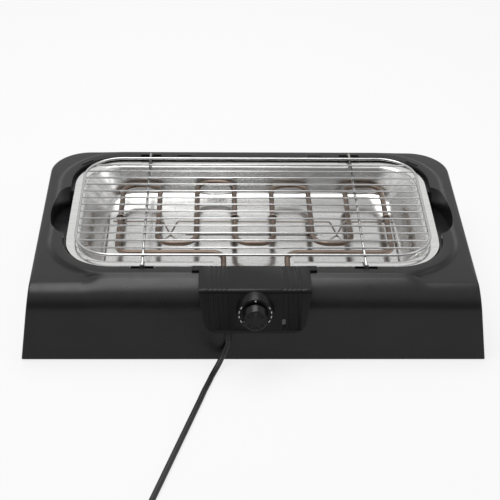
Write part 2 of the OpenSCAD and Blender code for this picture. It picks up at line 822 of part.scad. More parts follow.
module thermostat_body() {
    front = thermostat_y;
    color([0.85, 0.83, 0.76]) at_deck() difference() {
        union() {
            translate([-17, front, -dial_z - 14]) cube([34, thermostat_l, 28]);
            at_dial(front + 1) cylinder(h = front + 1 - boss_face_y + 2.6, r = 5);
            for (x = [-blade_x, blade_x]) translate([x - 3, front + thermostat_l - 1, blade_z - 0.4])
                cube([6, blade_l + 1, 0.8]);
        }
        at_dial(front + 8) cylinder(h = 60, r = shaft_r + 0.05);
    }
}

module thermostat_nut() {
    color([0.75, 0.75, 0.72]) at_deck() at_dial(boss_face_y) difference() {
        cylinder(h = 2.2, r = 8, $fn = 6);
        translate([0, 0, -1]) cylinder(h = 5, r = 5.03);
    }
}

module thermostat_shaft() {
    back = thermostat_y + 7.5;
    color([0.7, 0.7, 0.7]) at_deck() at_dial(back)
        cylinder(h = back - knob_front_y - 3.5, r = shaft_r);
}

// Round knob with two shallow finger hollows; it hides the fixing nut
module knob() {
    tip_r = knob_r - 1.3;
    color([0.12, 0.12, 0.12]) at_deck() at_dial(boss_face_y - knob_gap) difference() {
        rotate_extrude() polygon(concat([[0, 0], [knob_r, 0]],
            arc([tip_r - 1.4, knob_l - 1.4], 1.4, 0, 90, 4), [[0, knob_l]]));
        for (side = [-1, 1]) translate([side * (knob_r + 10), 0, 3]) cylinder(h = knob_l, r = 12.5);
        translate([0, 0, -1]) cylinder(h = 4, r = 10.4);
        translate([0, 0, -1]) cylinder(h = knob_l - 2, r = shaft_r + 0.03);
    }
}

module pilot_lens() {
    front = face_y(lens_z);
    color([0.9, 0.88, 0.85]) at_deck() {
        along_y(front - 0.8, front + 4.4) lens_outline(0);
        translate([lens_x, front + 12, lens_z]) rotate([90, 0, 0]) difference() {
            cylinder(h = 8, r = 3.6);
            translate([0, 0, -1]) cylinder(h = 8, r = 2.7);
        }
    }
}

module pilot_lamp() {
    color([0.9, 0.55, 0.35]) at_deck() translate([lens_x, face_y(lens_z) + 17, lens_z])
        rotate([90, 0, 0]) cylinder(h = 11.6, r = 2.5);
}

module terminal_block() {
    color([0.9, 0.9, 0.86]) at_deck() translate([0, block_y, block_z]) difference() {
        translate([block_x, 0, 0]) cube(block);
        for (x = way_x) {
            translate([x, -1, way_z - block_z]) rotate([-90, 0, 0]) cylinder(h = block[1] + 2, r = 1.4);
            translate([x, block[1] / 3, 7]) cylinder(h = 3, r = 1.8);
        }
    }
}

// End of the cord inside the box: it bends back from the strain relief and runs to the clamp
module cord_sheath() {
    bend = [sheath_start[1] + sheath_bend * cos(entry_tilt), sheath_z - sheath_bend];
    path = concat([entry_top], [for (p = arc(bend, sheath_bend, 180 - entry_tilt, 90, 5))
        [entry_x, p[0], p[1]]], [[entry_x, sheath_y, sheath_z]]);
    color([0.1, 0.1, 0.1]) at_deck() swept_tube(path, [1, 0, 0], cord_d / 2, 12);
}

module cord_clamp() {
    color([0.8, 0.8, 0.78]) at_deck() difference() {
        translate([entry_x - 11, clamp_y - 3.5, clamp_z]) cube([22, 7, clamp_t]);
        at_clamp(clamp_z - 1) cylinder(h = clamp_t + 2, r = 1.6);
        translate([entry_x, clamp_y + 4, sheath_z]) rotate([90, 0, 0]) cylinder(h = 8, r = cord_d / 2 + 0.05);
    }
}

module clamp_screws() {
    color([0.7, 0.7, 0.72]) at_deck() at_clamp(clamp_z + clamp_t) {
        cylinder(h = 1.6, r = 2.6);
        translate([0, 0, -12]) cylinder(h = 12, r = 1.1);
    }
}

// Inner leads; each ends just clear of the metal that it joins
module lead(points, tint) {
    color(tint) at_deck() swept_tube(eased(points, 1.4), [0.31, 0.52, 0.8], lead_r, 8);
}

// One of the cord's cores, from the end of its sheath to a way of the block
module core(dx, dz, way, reach, bend, tint) {
    z = core_z + dz;
    y = cover_y - cover_t - bend;
    lead([[entry_x + dx, sheath_y + lead_gap, z], [entry_x + dx, sheath_y + reach, z],
        [way_x[way] - 11, y, way_z + 4], [way_x[way], y, way_z],
        [way_x[way], block_back + lead_gap, way_z]], tint);
}

module live_lead() {
    tint = [0.3, 0.2, 0.15];
    x = block_x - 3.2;
    y = blade_end + 4;
    core(1.6, 0, 0, 3, 8, tint);
    lead([[way_x[0], block_y - lead_gap, way_z], [way_x[0], block_y - 3, way_z], [x, block_y - 3, way_z],
        [x, y, way_z + 3], [x, y, blade_z], [-blade_x, y, blade_z],
        [-blade_x, blade_end + lead_gap, blade_z]], tint);
}

module switched_lead() {
    x = pin_x[1];
    lead([[blade_x, blade_end + lead_gap, blade_z], [blade_x, blade_end + 4.5, blade_z],
        [x, blade_end + 4.5, -4], [x + 8, blade_end, -8], [x + 8, pin_y, -element_z],
        [x + 0.5, pin_y, -element_z]], [0.6, 0.15, 0.1]);
}

module neutral_lead() {
    tint = [0.15, 0.25, 0.6];
    x = entry_x + 14;
    y = cover_y - cover_t - 17;
    core(-1.6, 0, 1, 5, 5, tint);
    lead([[way_x[1], block_y - lead_gap, way_z], [way_x[1], block_y - 6, way_z],
        [x, block_y - 6, way_z], [x, y, way_z + 2], [x, y, -element_z],
        [pin_x[0] + 8, pin_y, -element_z], [pin_x[0] + 0.5, pin_y, -element_z]], tint);
}

module earth_lead() {
    tint = [0.2, 0.5, 0.2];
    x = block_x + block[0] + 8;
    core(0, 2.4, 2, 6, 2.4, tint);
    lead([[way_x[2], block_y - lead_gap, way_z], [way_x[2], block_y - 4, way_z], [x, block_y - 4, way_z],
        [x, cover_y - cover_t - lead_gap, way_z + 2]], tint);
}

module lamp_leads() {
    lamp_y = face_y(lens_z) + 17.2;
    for (side = [-1, 1]) color([0.85, 0.85, 0.8]) at_deck()
        wire([[lens_x + 1.2 * side, lamp_y, lens_z], [lens_x + 1.2 * side, lamp_y + 6, lens_z],
            [lens_x + 2 * side, lamp_y + 10, lens_z + 8]], 0.6);
}

// Tapered sleeve that leads the cord out of the box's floor
module strain_relief() {
    color([0.1, 0.1, 0.1]) at_deck() at_entry() {
        translate([0, 0, -relief_in]) cylinder(h = relief_in + small, r = relief_r);
        cylinder(h = relief_out, r1 = relief_r, r2 = relief_tip_r);
    }
}

module cord_run() {
    color([0.08, 0.08, 0.08]) swept_tube(cord_route, [1, 0, 0], cord_d / 2, cord_sides);
}

module cord_coil() {
    color([0.08, 0.08, 0.08]) swept_tube(coil_path, [0, 0, 1], cord_d / 2, coil_sides);
}

// Band round all the turns, on the side away from the object
module cord_tie() {
    t = 0.9;
    clear = 0.35;
    in_r = coil_r - coil_pitch * coil_turns / 2 - cord_d / 2 - clear;
    out_r = coil_r + cord_d / 2 + clear;
    w = out_r - in_r;
    h = cord_d + layer_step + 2 * clear;
    middle = (in_r + out_r) / 2;
    angle = coil_angle - 50;
    color([0.15, 0.15, 0.15])
        translate([coil_centre[0], coil_centre[1], coil_lift + layer_step / 2]) rotate([0, 0, angle])
        translate([middle, 4, 0]) rotate([90, 0, 0]) linear_extrude(8) difference() {
            polygon(round_rect(w + 2 * t, h + 2 * t, cord_d / 2 + t, 4));
            polygon(round_rect(w, h, cord_d / 2, 4));
        }
}

// Places something on the plug's axis, with +X along it and 0 at the end of the cord
module at_plug() {
    end = tail_point(coil_tail);
    translate(end) rotate([0, 0, tail_angle]) children();
}

module plug_body() {
    half = plug_z;
    color([0.1, 0.1, 0.1]) at_plug() {
        rotate([0, 90, 0]) cylinder(h = plug_relief + 1, r1 = cord_d / 2 + 0.6, r2 = 6.5);
        translate([plug_relief, 0, -half]) linear_extrude(2 * half)
            polygon([[0, -8], [7, -plug_w / 2], [plug_l - 2, -plug_w / 2], [plug_l, -plug_w / 2 + 3],
                [plug_l, plug_w / 2 - 3], [plug_l - 2, plug_w / 2], [7, plug_w / 2], [0, 8]]);
    }
}

module plug_pins() {
    color([0.8, 0.8, 0.78]) at_plug() translate([plug_relief + plug_l, 0, 0])
        for (p = [[-prong_gap / 2, 0], [0, 3], [prong_gap / 2, 0]]) translate([0, p[0], p[1]])
            rotate([0, 90, 0]) {
                cylinder(h = prong_l - 1, r = prong_r);
                translate([0, 0, prong_l - 1]) cylinder(h = 1, r1 = prong_r, r2 = prong_r - 0.8);
            }
}

// ---- wire grill ----

module grill_ring() {
    corners = tray_corners(grill_w, grill_d);
    color([0.8, 0.8, 0.8]) at_deck() translate([0, 0, ring_z])
        bent_tube(corners, [for (p = corners) grill_r], ring_d / 2);
}

// Half length of a lengthwise wire that ends on the ring at distance y from the middle
function wire_half(y) = let (over = abs(y) - (grill_d / 2 - grill_r))
    over <= 0 ? grill_w / 2 : grill_w / 2 - grill_r + sqrt(grill_r * grill_r - over * over);

module grill_wires() {
    pitch = grill_d / (wire_count + 1);
    color([0.8, 0.8, 0.8]) at_deck() for (i = [1:wire_count]) {
        y = -grill_d / 2 + i * pitch;
        half = wire_half(y) - ring_d / 2 + weld;
        rod([-half, tray_y + y, wire_z], [half, tray_y + y, wire_z], wire_d / 2);
    }
}

module grill_rods() {
    color([0.8, 0.8, 0.8]) at_deck() for (x = [-rod_x, rod_x])
        rod([x, well_front_y - rod_over, rod_z], [x, well_back_y + rod_over, rod_z], rod_d / 2);
}

base_shell();
grill_rests();
rubber_feet();
drip_tray();
control_housing();
housing_back();
housing_screws();
heating_element();
element_bushes();
terminal_pins();
support_wire();
thermostat_body();
thermostat_nut();
pilot_lens();
pilot_lamp();
terminal_block();
cord_sheath();
cord_clamp();
clamp_screws();
live_lead();
neutral_lead();
switched_lead();
earth_lead();
lamp_leads();
strain_relief();
cord_run();
cord_coil();
cord_tie();
plug_body();
plug_pins();
knob();
thermostat_shaft();
grill_ring();
grill_wires();
grill_rods();
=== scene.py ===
import math

import bmesh
import bpy
from mathutils import Matrix, Vector


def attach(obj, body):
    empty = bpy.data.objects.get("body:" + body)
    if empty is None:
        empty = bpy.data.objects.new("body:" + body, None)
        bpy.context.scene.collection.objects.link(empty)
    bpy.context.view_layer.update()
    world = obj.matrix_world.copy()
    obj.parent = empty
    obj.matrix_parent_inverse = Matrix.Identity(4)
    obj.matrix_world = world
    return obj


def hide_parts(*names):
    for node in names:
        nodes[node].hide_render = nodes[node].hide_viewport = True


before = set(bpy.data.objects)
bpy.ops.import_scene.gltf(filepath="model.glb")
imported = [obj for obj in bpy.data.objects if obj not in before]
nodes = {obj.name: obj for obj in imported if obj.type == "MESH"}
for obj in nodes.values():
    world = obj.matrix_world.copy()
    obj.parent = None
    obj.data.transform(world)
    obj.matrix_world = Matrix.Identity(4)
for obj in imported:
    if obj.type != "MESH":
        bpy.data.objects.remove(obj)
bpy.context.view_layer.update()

mm = 0.001
print("frame loaded,", len(nodes), "nodes")


# camera at the photo's viewing angle

camera = {
    "lens": 101.27,
    "place": (-0.0431, -1.4186, 0.9682),
    "pitch": 33.0,  # degrees below the horizon
    "yaw": 1.65,
    "roll": 0.99,
}


def makeCamera():
    p, y, r = (math.radians(camera[k]) for k in ("pitch", "yaw", "roll"))
    ahead = Vector((math.sin(y) * math.cos(p), math.cos(y) * math.cos(p), -math.sin(p)))
    right = Vector((math.cos(y), -math.sin(y), 0))
    up = right.cross(ahead)
    tiltedRight = math.cos(r) * right + math.sin(r) * up
    tiltedUp = math.cos(r) * up - math.sin(r) * right
    turn = Matrix((tiltedRight, tiltedUp, -ahead)).transposed().to_4x4()
    data = bpy.data.cameras.new("camera")
    data.lens = camera["lens"]
    data.clip_start, data.clip_end = 0.05, 20
    obj = bpy.data.objects.new("camera", data)
    obj.matrix_world = Matrix.Translation(camera["place"]) @ turn
    bpy.context.scene.collection.objects.link(obj)
    bpy.context.scene.camera = obj


makeCamera()
print("camera placed")

# small tools for meshes

def newObject(name, verts, faces, smooth=0):
    mesh = bpy.data.meshes.new(name)
    mesh.from_pydata([tuple(v) for v in verts], [], faces)
    mesh.update()
    obj = bpy.data.objects.new(name, mesh)
    bpy.context.scene.collection.objects.link(obj)
    if smooth:
        smoothMesh(mesh, smooth)
    return obj


def editMesh(mesh, work, *meshes):
    # runs work on the mesh, after adding the other meshes to it
    bm = bmesh.new()
    for source in (mesh, *meshes):
        bm.from_mesh(source)
    if work:
        work(bm)
    bm.to_mesh(mesh)
    bm.free()


def lookOutward(bm):
    bmesh.ops.recalc_face_normals(bm, faces=bm.faces)


def smoothMesh(mesh, degrees):
    # smooth shading, with edges sharper than this angle kept sharp
    def shade(bm):
        lookOutward(bm)
        for f in bm.faces:
            f.smooth = True
        for e in bm.edges:
            e.smooth = len(e.link_faces) == 2 and e.calc_face_angle(0) < math.radians(degrees)

    editMesh(mesh, shade)


def applyModifiers(obj):
    graph = bpy.context.evaluated_depsgraph_get()
    graph.update()
    mesh = bpy.data.meshes.new_from_object(obj.evaluated_get(graph))
    obj.modifiers.clear()
    obj.data = mesh


def curvePoints(points, steps):
    # Catmull-Rom curve through the points
    out = []
    n = len(points)
    for i in range(n - 1):
        a, b = points[max(i - 1, 0)], points[i]
        c, d = points[i + 1], points[min(i + 2, n - 1)]
        for k in range(steps):
            t = k / steps
            out.append(0.5 * ((2 * b) + (c - a) * t + (2 * a - 5 * b + 4 * c - d) * t * t
                              + (3 * b - a - 3 * c + d) * t ** 3))
    out.append(points[-1])
    return out


def tubeMesh(name, runs, radius, sides=14):
    # round wire along each run of points, in millimetres; a run is (points, closed)
    verts, faces = [], []
    for points, closed in runs:
        count = len(points)
        ahead = [(points[(i + 1) % count] - points[i - 1]).normalized() if closed else
                 (points[min(i + 1, count - 1)] - points[max(i - 1, 0)]).normalized() for i in range(count)]
        side = ahead[0].orthogonal().normalized()
        rings = []
        for p, d in zip(points, ahead):
            side = (side - side.dot(d) * d).normalized()
            rings.append((p, d, side, 1.0))
        if not closed:  # the ends are slightly rounded
            for at, way in ((0, 1), (-1, -1)):
                p, d, s, _ = rings[at]
                rings[at] = (p + way * 0.35 * radius * d, d, s, 1.0)
                rings.insert(0 if at == 0 else len(rings), (p, d, s, 0.7))
        start = len(verts)
        for p, d, s, share in rings:
            up = d.cross(s)
            for k in range(sides):
                a = 2 * math.pi * k / sides
                verts.append((p + radius * share * (math.cos(a) * s + math.sin(a) * up)) * mm)
        n = len(rings)
        for i in range(n if closed else n - 1):
            a, b = start + i * sides, start + (i + 1) % n * sides
            faces += [(a + k, a + (k + 1) % sides, b + (k + 1) % sides, b + k) for k in range(sides)]
        if not closed:
            faces += [tuple(start + k for k in range(sides)),
                      tuple(start + (n - 1) * sides + k for k in range(sides))]
    return newObject(name, verts, faces, 50)


def bentPath(corners, bends, steps):
    # straight lengths in a level plane with round corners; an end has no bend
    out = []
    for i, (p, r) in enumerate(zip(corners, bends)):
        if r == 0:
            out.append(p)
            continue
        a = (p - corners[i - 1]).normalized()
        b = (corners[(i + 1) % len(corners)] - p).normalized()
        for k in range(steps + 1):
            t = math.pi / 2 * k / steps
            out.append(p - r * a + r * b - r * math.cos(t) * b + r * math.sin(t) * a)
    return out


def easedPath(points, cut, steps=6):
    # straight lengths in any direction, with each corner eased from this far before it
    out = [points[0]]
    for a, p, b in zip(points, points[1:], points[2:]):
        s, e = p + cut * (a - p).normalized(), p + cut * (b - p).normalized()
        for k in range(steps + 1):
            t = k / steps
            out.append((1 - t) ** 2 * s + 2 * t * (1 - t) * p + t * t * e)
    return out + [points[-1]]


def lathe(name, profile, place, turn, sides, smooth=0):
    # profile of (radius, height) pairs turned about Z, then turned and placed, in millimetres
    verts = [Vector((r * math.cos(2 * math.pi * k / sides), r * math.sin(2 * math.pi * k / sides), h)) * mm
             for r, h in profile for k in range(sides)]
    faces = []
    for i in range(len(profile) - 1):
        a, b = i * sides, (i + 1) * sides
        faces += [(a + k, a + (k + 1) % sides, b + (k + 1) % sides, b + k) for k in range(sides)]
    obj = newObject(name, verts, faces)
    obj.data.transform(Matrix.Translation(Vector(place) * mm) @ turn)
    tidyMesh(obj, 0.01)
    if smooth:
        smoothMesh(obj.data, smooth)
    return obj


def roundEdges(obj, width, angle=50, segments=3):
    m = obj.modifiers.new("edges", "BEVEL")
    m.width = width * mm
    m.segments = segments
    m.limit_method = "ANGLE"
    m.angle_limit = math.radians(angle)
    applyModifiers(obj)


def wrapUp(obj, slot, body, *replaced):
    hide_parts(*replaced)
    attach(obj, body)
    return obj


facing = Matrix.Rotation(math.radians(90), 4, "X")  # turns up into the way the dial faces


# mains cord

cord = {
    "diameter": 6.5,
    "tip": (-29.5, -157.99, 31.8),  # end of the strain relief
    "tilt": 11.5,
    "route": [
        (-32, -161, 19), (-36, -165.5, 12), (-40, -172.5, 7), (-44, -180.5, 4.2),
        (-47.5, -189.5, 3.3), (-51, -201, 3.3), (-55.5, -215, 3.3),
        *((-60 - 5 * k, -231 - 17 * k, 3.3) for k in range(9)),
        (-105, -384, 3.4), (-110, -401, 3.9), (-115, -418, 4.6), (-120, -435, 4.6),
    ],
    "turns": 4.25,
    "coilRadius": 42.5,
    "pitch": 7.3,
    "lift": 4.6,
    "layer": 7.2,
    "drop": 2.9,
    "tail": (3, 6, 8, 10, 12, 14, 16, 18, 20, 23.5, 27),  # steps from the coil to the plug
}


def easeStep(x):
    e = max(0.0, min(1.0, x))
    return e * e * (3 - 2 * e)


def coilPoints():
    before, last = (Vector((x, y, cord["lift"])) for x, y, _ in cord["route"][-2:])
    ahead = (last - before).normalized()
    side = Vector((-ahead.y, ahead.x, 0))
    start = last + cord["diameter"] * ahead
    centre = start + cord["coilRadius"] * side
    first = math.degrees(math.atan2(-side.y, -side.x))
    sweep = cord["turns"] * 360

    def at(t):
        r = cord["coilRadius"] - cord["pitch"] * min(t, sweep - t) / 360
        a = math.radians(first + t)
        z = cord["lift"] + cord["layer"] * easeStep((t - sweep / 2) / 180 + 0.5)
        return Vector((centre.x + r * math.cos(a), centre.y + r * math.sin(a), z))

    points = [at(t) for t in range(0, int(sweep) + 1, 5)]
    a = math.radians(first + sweep + 90)
    away = Vector((math.cos(a), math.sin(a), 0))
    for s in cord["tail"]:
        drop = cord["drop"] * easeStep((s - 6) / 14)
        points.append(at(sweep) + s * away - Vector((0, 0, drop)))
    return points


def makeCord():
    tilt = math.radians(cord["tilt"])
    down = Vector((0, -math.sin(tilt), -math.cos(tilt)))
    tip = Vector(cord["tip"])
    run = [tip, tip + cord["diameter"] * down] + [Vector(p) for p in cord["route"]]
    points = curvePoints(run, 6) + coilPoints()
    obj = tubeMesh("mains_cord", [(points, False)], cord["diameter"] / 2, 16)
    wrapUp(obj, "cord_rubber", "control_unit", "cord_run", "cord_coil")
    path = [tuple(p * mm) for p in points]
    return obj, path, sum((b - a).length for a, b in zip(points, points[1:])) * mm


mainsCord, cordPath, cordLength = makeCord()
print("cord laid, %.3f m" % cordLength)


# black moulded shell

shell = {
    "half": 250,  # half width of the deck
    "front": -117,  # crease between deck and rounded shoulder
    "back": 169, "deck": 87, "flare": 11.25, "height": 85, "rear": 48, "wall": 2.6,
    "edge": 2.2,  # rounding of the deck's side and back edges
    "shoulder": 30,
    "shoulderBack": 4.5,  # how far its arc's middle lies in front of the crease
    "lean": 5.7,
    "corner": 2.0,  # radius of the front corners
    "wellHalf": 220.8, "wellFront": -102.7, "wellBack": 148.7, "wellRadius": 60.3, "band": 4.5,
    "skirt": 14, "ledge": -2.5,
    "lip": 3.9,  # height left of the band where it meets the front crease
}
arcSteps = 18
sideSteps = 26

# height of the raised band's sloping edge, by distance from the well
riserProfile = [(10.6, 4.5), (11.5, 4.42), (12.3, 4.2), (13.1, 3.75), (13.9, 3.1), (14.8, 2.3),
                (15.7, 1.45), (16.6, 0.75), (17.6, 0.28), (18.8, 0.06), (20.0, 0.0)]


def heightAt(offset):
    for (o0, h0), (o1, h1) in zip(riserProfile, riserProfile[1:]):
        if offset <= o1:
            return h0 + (offset - o0) / (o1 - o0) * (h1 - h0)
    return 0.0


def arcXY(cx, cy, r, a0, a1, steps):
    angles = [math.radians(a0 + (a1 - a0) * k / steps) for k in range(steps + 1)]
    return [(cx + r * math.cos(a), cy + r * math.sin(a)) for a in angles]


def straight(p, q, steps):
    return [(p[0] + (q[0] - p[0]) * k / steps, p[1] + (q[1] - p[1]) * k / steps)
            for k in range(1, steps)]


def roundedOutline(half, front, back, radius):
    # from the right end of the back edge, anticlockwise seen from above
    right, left = half - radius, radius - half
    arcs = [arcXY(x, y, radius, a, a + 90, arcSteps)
            for x, y, a in ((right, back - radius, 0), (left, back - radius, 90),
                            (left, front + radius, 180), (right, front + radius, 270))]
    out = []
    for arc, after in zip(arcs, arcs[1:] + arcs[:1]):
        out += arc + straight(arc[-1], after[0], sideSteps)
    return out


def wellOutline(offset):
    s = shell
    return roundedOutline(s["wellHalf"] + offset, s["wellFront"] - offset, s["wellBack"] + offset,
                          s["wellRadius"] + offset)


frontSpan = range(2 * (arcSteps + sideSteps), 3 * (arcSteps + sideSteps) + arcSteps + 1)


def riserLoops():
    # loops of the band's sloping edge; where it would pass the crease it ends on the crease
    first = riserProfile[0][0]
    inner = wellOutline(first)
    outer = wellOutline(riserProfile[-1][0])
    reach = riserProfile[-1][0] - first
    loops = []
    for offset, _ in riserProfile:
        points = []
        share = (offset - first) / reach
        for (x0, y0), (x1, y1) in zip(inner, outer):
            most = 1.0
            if y1 < shell["front"]:
                most = (shell["front"] - y0) / (y1 - y0)
            t = share * most
            h = heightAt(first + reach * t)
            flat = shell["band"] - (shell["band"] - shell["lip"]) * share ** 2
            h += (flat - h) * easeStep((1 - most) / 0.55)
            points.append(Vector((x0 + (x1 - x0) * t, y0 + (y1 - y0) * t, shell["deck"] + h)))
        loops.append(points)
    return loops


def creaseShares(foot):
    # for each point of the front edge: its place along the crease, and its height above the deck
    places = {}
    a, b = frontSpan[0], frontSpan[-1]
    on = [i for i in frontSpan if foot[i].y <= shell["front"] + 1e-6]
    for i in on:
        places[i] = (foot[i].x, foot[i].z - shell["deck"])
    corner = 5  # points in the small front corner
    for start, end, step in ((on[-1], b, 1), (on[0], a, -1)):
        free = list(range(start + step, end + step, step))
        flat = free[:-corner]
        x0 = places[start][0]
        lim = step * (shell["half"] - shell["corner"])
        for k, i in enumerate(flat, 1):
            places[i] = (x0 + (lim - x0) * k / len(flat), 0.0)
        for k, i in enumerate(free[-corner:], 1):
            places[i] = ("corner", step, k / corner)
    return places


def shoulderLevels(inset):
    # (y of the front, z, share of the arc done, dip) from the crease to the bottom edge
    s = shell
    r = s["shoulder"] - inset
    out = []
    centreY = s["front"] - s["shoulderBack"]
    centreZ = s["deck"] - s["shoulder"]
    steps = 16
    out.append((s["front"] - (inset * 0.3), s["deck"] - inset, 0.0, 0.0))
    for k in range(1, steps + 1):
        a = math.radians(90 + (90 - s["lean"]) * (k / steps) ** 1.15)
        y, z = centreY + r * math.cos(a), centreZ + r * math.sin(a)
        out.append((y, z, k / steps, 0.8 * math.exp(-0.9 * k)))
    y0, z0 = out[-1][:2]
    bottom = s["deck"] - s["height"]
    for k in range(1, 9):
        z = z0 + (bottom - z0) * k / 8
        out.append((y0 - (z0 - z) * math.tan(math.radians(s["lean"])), z, 1.0, 0.0))
    return out


def shellLoop(level, places, inset):
    s = shell
    y, z, done, dip = level  # the dip makes the crease show, near the front corners only
    below = s["deck"] - z
    grow = s["flare"] * below / s["height"]
    edge = 0.0
    if below - inset < s["edge"] and inset == 0:
        edge = s["edge"] - math.sqrt(max(0.0, s["edge"] ** 2 - (s["edge"] - below) ** 2))
    half = s["half"] + grow - edge - inset
    back = s["back"] + grow - edge - inset
    radius = s["rear"] + grow - edge - inset
    points = [Vector((px, py, z)) for px, py in roundedOutline(half, y, back, radius)]
    scale = half / s["half"]
    for i, place in places.items():
        if place[0] == "corner":
            a = math.radians(-90 + 90 * place[2]) if place[1] > 0 else math.radians(-90 - 90 * place[2])
            cx, r = place[1] * (half - s["corner"]), s["corner"]
            points[i] = Vector((cx + r * math.cos(a), y + r + r * math.sin(a), z - dip))
        else:
            rise = place[1] * (1 - done) ** 3 - dip * easeStep((abs(place[0]) - 150) / 50)
            points[i] = Vector((place[0] * scale, y - 0.6 * place[1] * (1 - done) * done, z + rise))
    # sides: run evenly from the rear corner to the front corner
    a, b = frontSpan[0], frontSpan[-1]
    left, total = 2 * arcSteps + sideSteps, len(points)
    for k in range(1, a - left):
        points[left + k] = points[left].lerp(points[a], k / (a - left))
    for k in range(1, total - b):
        points[b + k] = points[b].lerp(points[0], k / (total - b))
    return points


def bridge(loops, closed):
    # skin between loops of as many points each; closed joins the last to the first
    verts = [p for points in loops for p in points]
    n, count = len(loops[0]), len(loops)
    faces = []
    for k in range(count if closed else count - 1):
        a, b = k * n, (k + 1) % count * n
        faces += [(a + i, a + (i + 1) % n, b + (i + 1) % n, b + i) for i in range(n)]
    return verts, faces


def liftLoop(offset, z):
    return [Vector((x, y, z)) for x, y in wellOutline(offset)]


def shellLoops():
    s = shell
    deck = s["deck"]
    bottom = deck - s["skirt"]
    ledge = deck + s["ledge"]
    loops = [liftLoop(2.6, bottom), liftLoop(0, bottom), liftLoop(0, ledge - 2.4),
             liftLoop(-8, ledge - 2.4), liftLoop(-8, ledge), liftLoop(0, ledge),
             liftLoop(0, deck + s["band"] - 1.0)]
    for k in range(1, 5):
        a = math.radians(22.5 * k)
        loops.append(liftLoop(1.0 - math.cos(a), deck + s["band"] - 1.0 + math.sin(a)))
    riser = riserLoops()
    loops += riser
    places = creaseShares(riser[-1])
    loops += [shellLoop(level, places, 0) for level in shoulderLevels(0)]
    inner = shoulderLevels(s["wall"])
    flat = {i: (p if p[0] == "corner" else (p[0], 0.0)) for i, p in places.items()}
    loops += [shellLoop(level, flat, s["wall"]) for level in reversed(inner)]
    return loops + [liftLoop(2.6, deck - s["wall"])]


def tidyMesh(obj, near=0.02):
    def weld(bm):
        bmesh.ops.remove_doubles(bm, verts=bm.verts, dist=near * mm)
        bmesh.ops.dissolve_degenerate(bm, edges=bm.edges, dist=near * mm)
        lookOutward(bm)

    editMesh(obj.data, weld)


def scaled(points):
    return [p * mm for p in points]


def prism(name, outline, z0, z1):
    # upright prism on a plan outline; its faces look outward whichever way the outline runs
    n = len(outline)
    if sum(a[0] * b[1] - b[0] * a[1] for a, b in zip(outline, outline[1:] + outline[:1])) < 0:
        outline = outline[::-1]
    verts = [Vector((x, y, z)) * mm for z in (z0, z1) for x, y in outline]
    faces = [tuple(reversed(range(n))), tuple(range(n, 2 * n))]
    faces += [(i, (i + 1) % n, n + (i + 1) % n, n + i) for i in range(n)]
    return newObject(name, verts, faces)


def pulled(name, outline, ends, place):
    # closed outline pulled out straight between two ends
    n = len(outline)
    verts = [Vector(place(p, q, end)) * mm for end in ends for p, q in outline]
    faces = [tuple(range(n)), tuple(reversed(range(n, 2 * n)))]
    faces += [(i, n + i, n + (i + 1) % n, (i + 1) % n) for i in range(n)]
    return newObject(name, verts, faces)


def alongX(name, outline, x0, x1):
    return pulled(name, outline, (x0, x1), lambda y, z, x: (x, y, z))


def alongY(name, outline, y0, y1):
    return pulled(name, outline, (y0, y1), lambda x, z, y: (x, y, z))


def cutWith(obj, cutters, operation="DIFFERENCE"):
    for c in cutters:
        m = obj.modifiers.new("cut", "BOOLEAN")
        m.operation = operation
        m.solver = "EXACT"
        m.object = c
    applyModifiers(obj)
    for c in cutters:
        bpy.data.objects.remove(c)


def joinPieces(obj, others):
    # several closed meshes in one object
    editMesh(obj.data, None, *(o.data for o in others))
    for o in others:
        bpy.data.objects.remove(o)


scoop = {
    "centre": 218.3,  # distance of the half ellipse's middle from the grill's middle
    "y": 20.5, "reach": 22, "half": 53, "depth": 24,
    "inner": 212.8,  # where the floor ends, under the tray's rim
    "liningTop": 84.8,
}


def scoopOutline(side, grow, inner):
    s = scoop
    out = []
    for k in range(41):
        a = math.radians(-90 + 180 * k / 40)
        out.append((side * (s["centre"] + (s["reach"] + grow) * math.cos(a) ** 0.9),
                    s["y"] + (s["half"] + grow) * math.sin(a)))
    out += [(side * inner, s["y"] + s["half"] + grow), (side * inner, s["y"] - s["half"] - grow)]
    return out


def boxOutline(grow, top):
    # front view of the control box's outline (x, z): from the top right, clockwise, to the top left
    b = controlBox
    lean = math.radians(b["lean"])
    r = b["radius"] + grow
    z = b["bottom"] + b["radius"]
    x = b["half"] - (b["top"] - z) * math.tan(lean) - b["radius"] / math.cos(lean)
    topX = b["half"] - (b["top"] - top) * math.tan(lean) + grow / math.cos(lean)
    out = [(topX, top)]
    right = arcXY(x, z, r, -b["lean"], -90, 12)
    return out + right + [(-px, pz) for px, pz in reversed(right)] + [(-topX, top)]


controlBox = {
    "half": 62.5, "top": 94.5, "bottom": 41.5, "lean": 7.5, "radius": 16, "back": -105.6,
    "faceY": -156.3,  # front face at deck height
    "faceLean": 8.4, "topRadius": 5,
    "edge": 1.3,  # rounding round the front face's other edges
    "gap": 1.0, "liningTop": 84.6, "liningBack": -103.5, "earHalf": 70, "earDepth": 9.6,
}


def frontY(z, inset):
    # y of the shell's front at a height
    levels = shoulderLevels(inset)
    for (y0, z0, _, _), (y1, z1, _, _) in zip(levels, levels[1:]):
        if z1 <= z <= z0:
            return y0 + (y1 - y0) * (z0 - z) / (z0 - z1 if z0 != z1 else 1)
    return levels[0][0] if z > levels[0][1] else levels[-1][0]


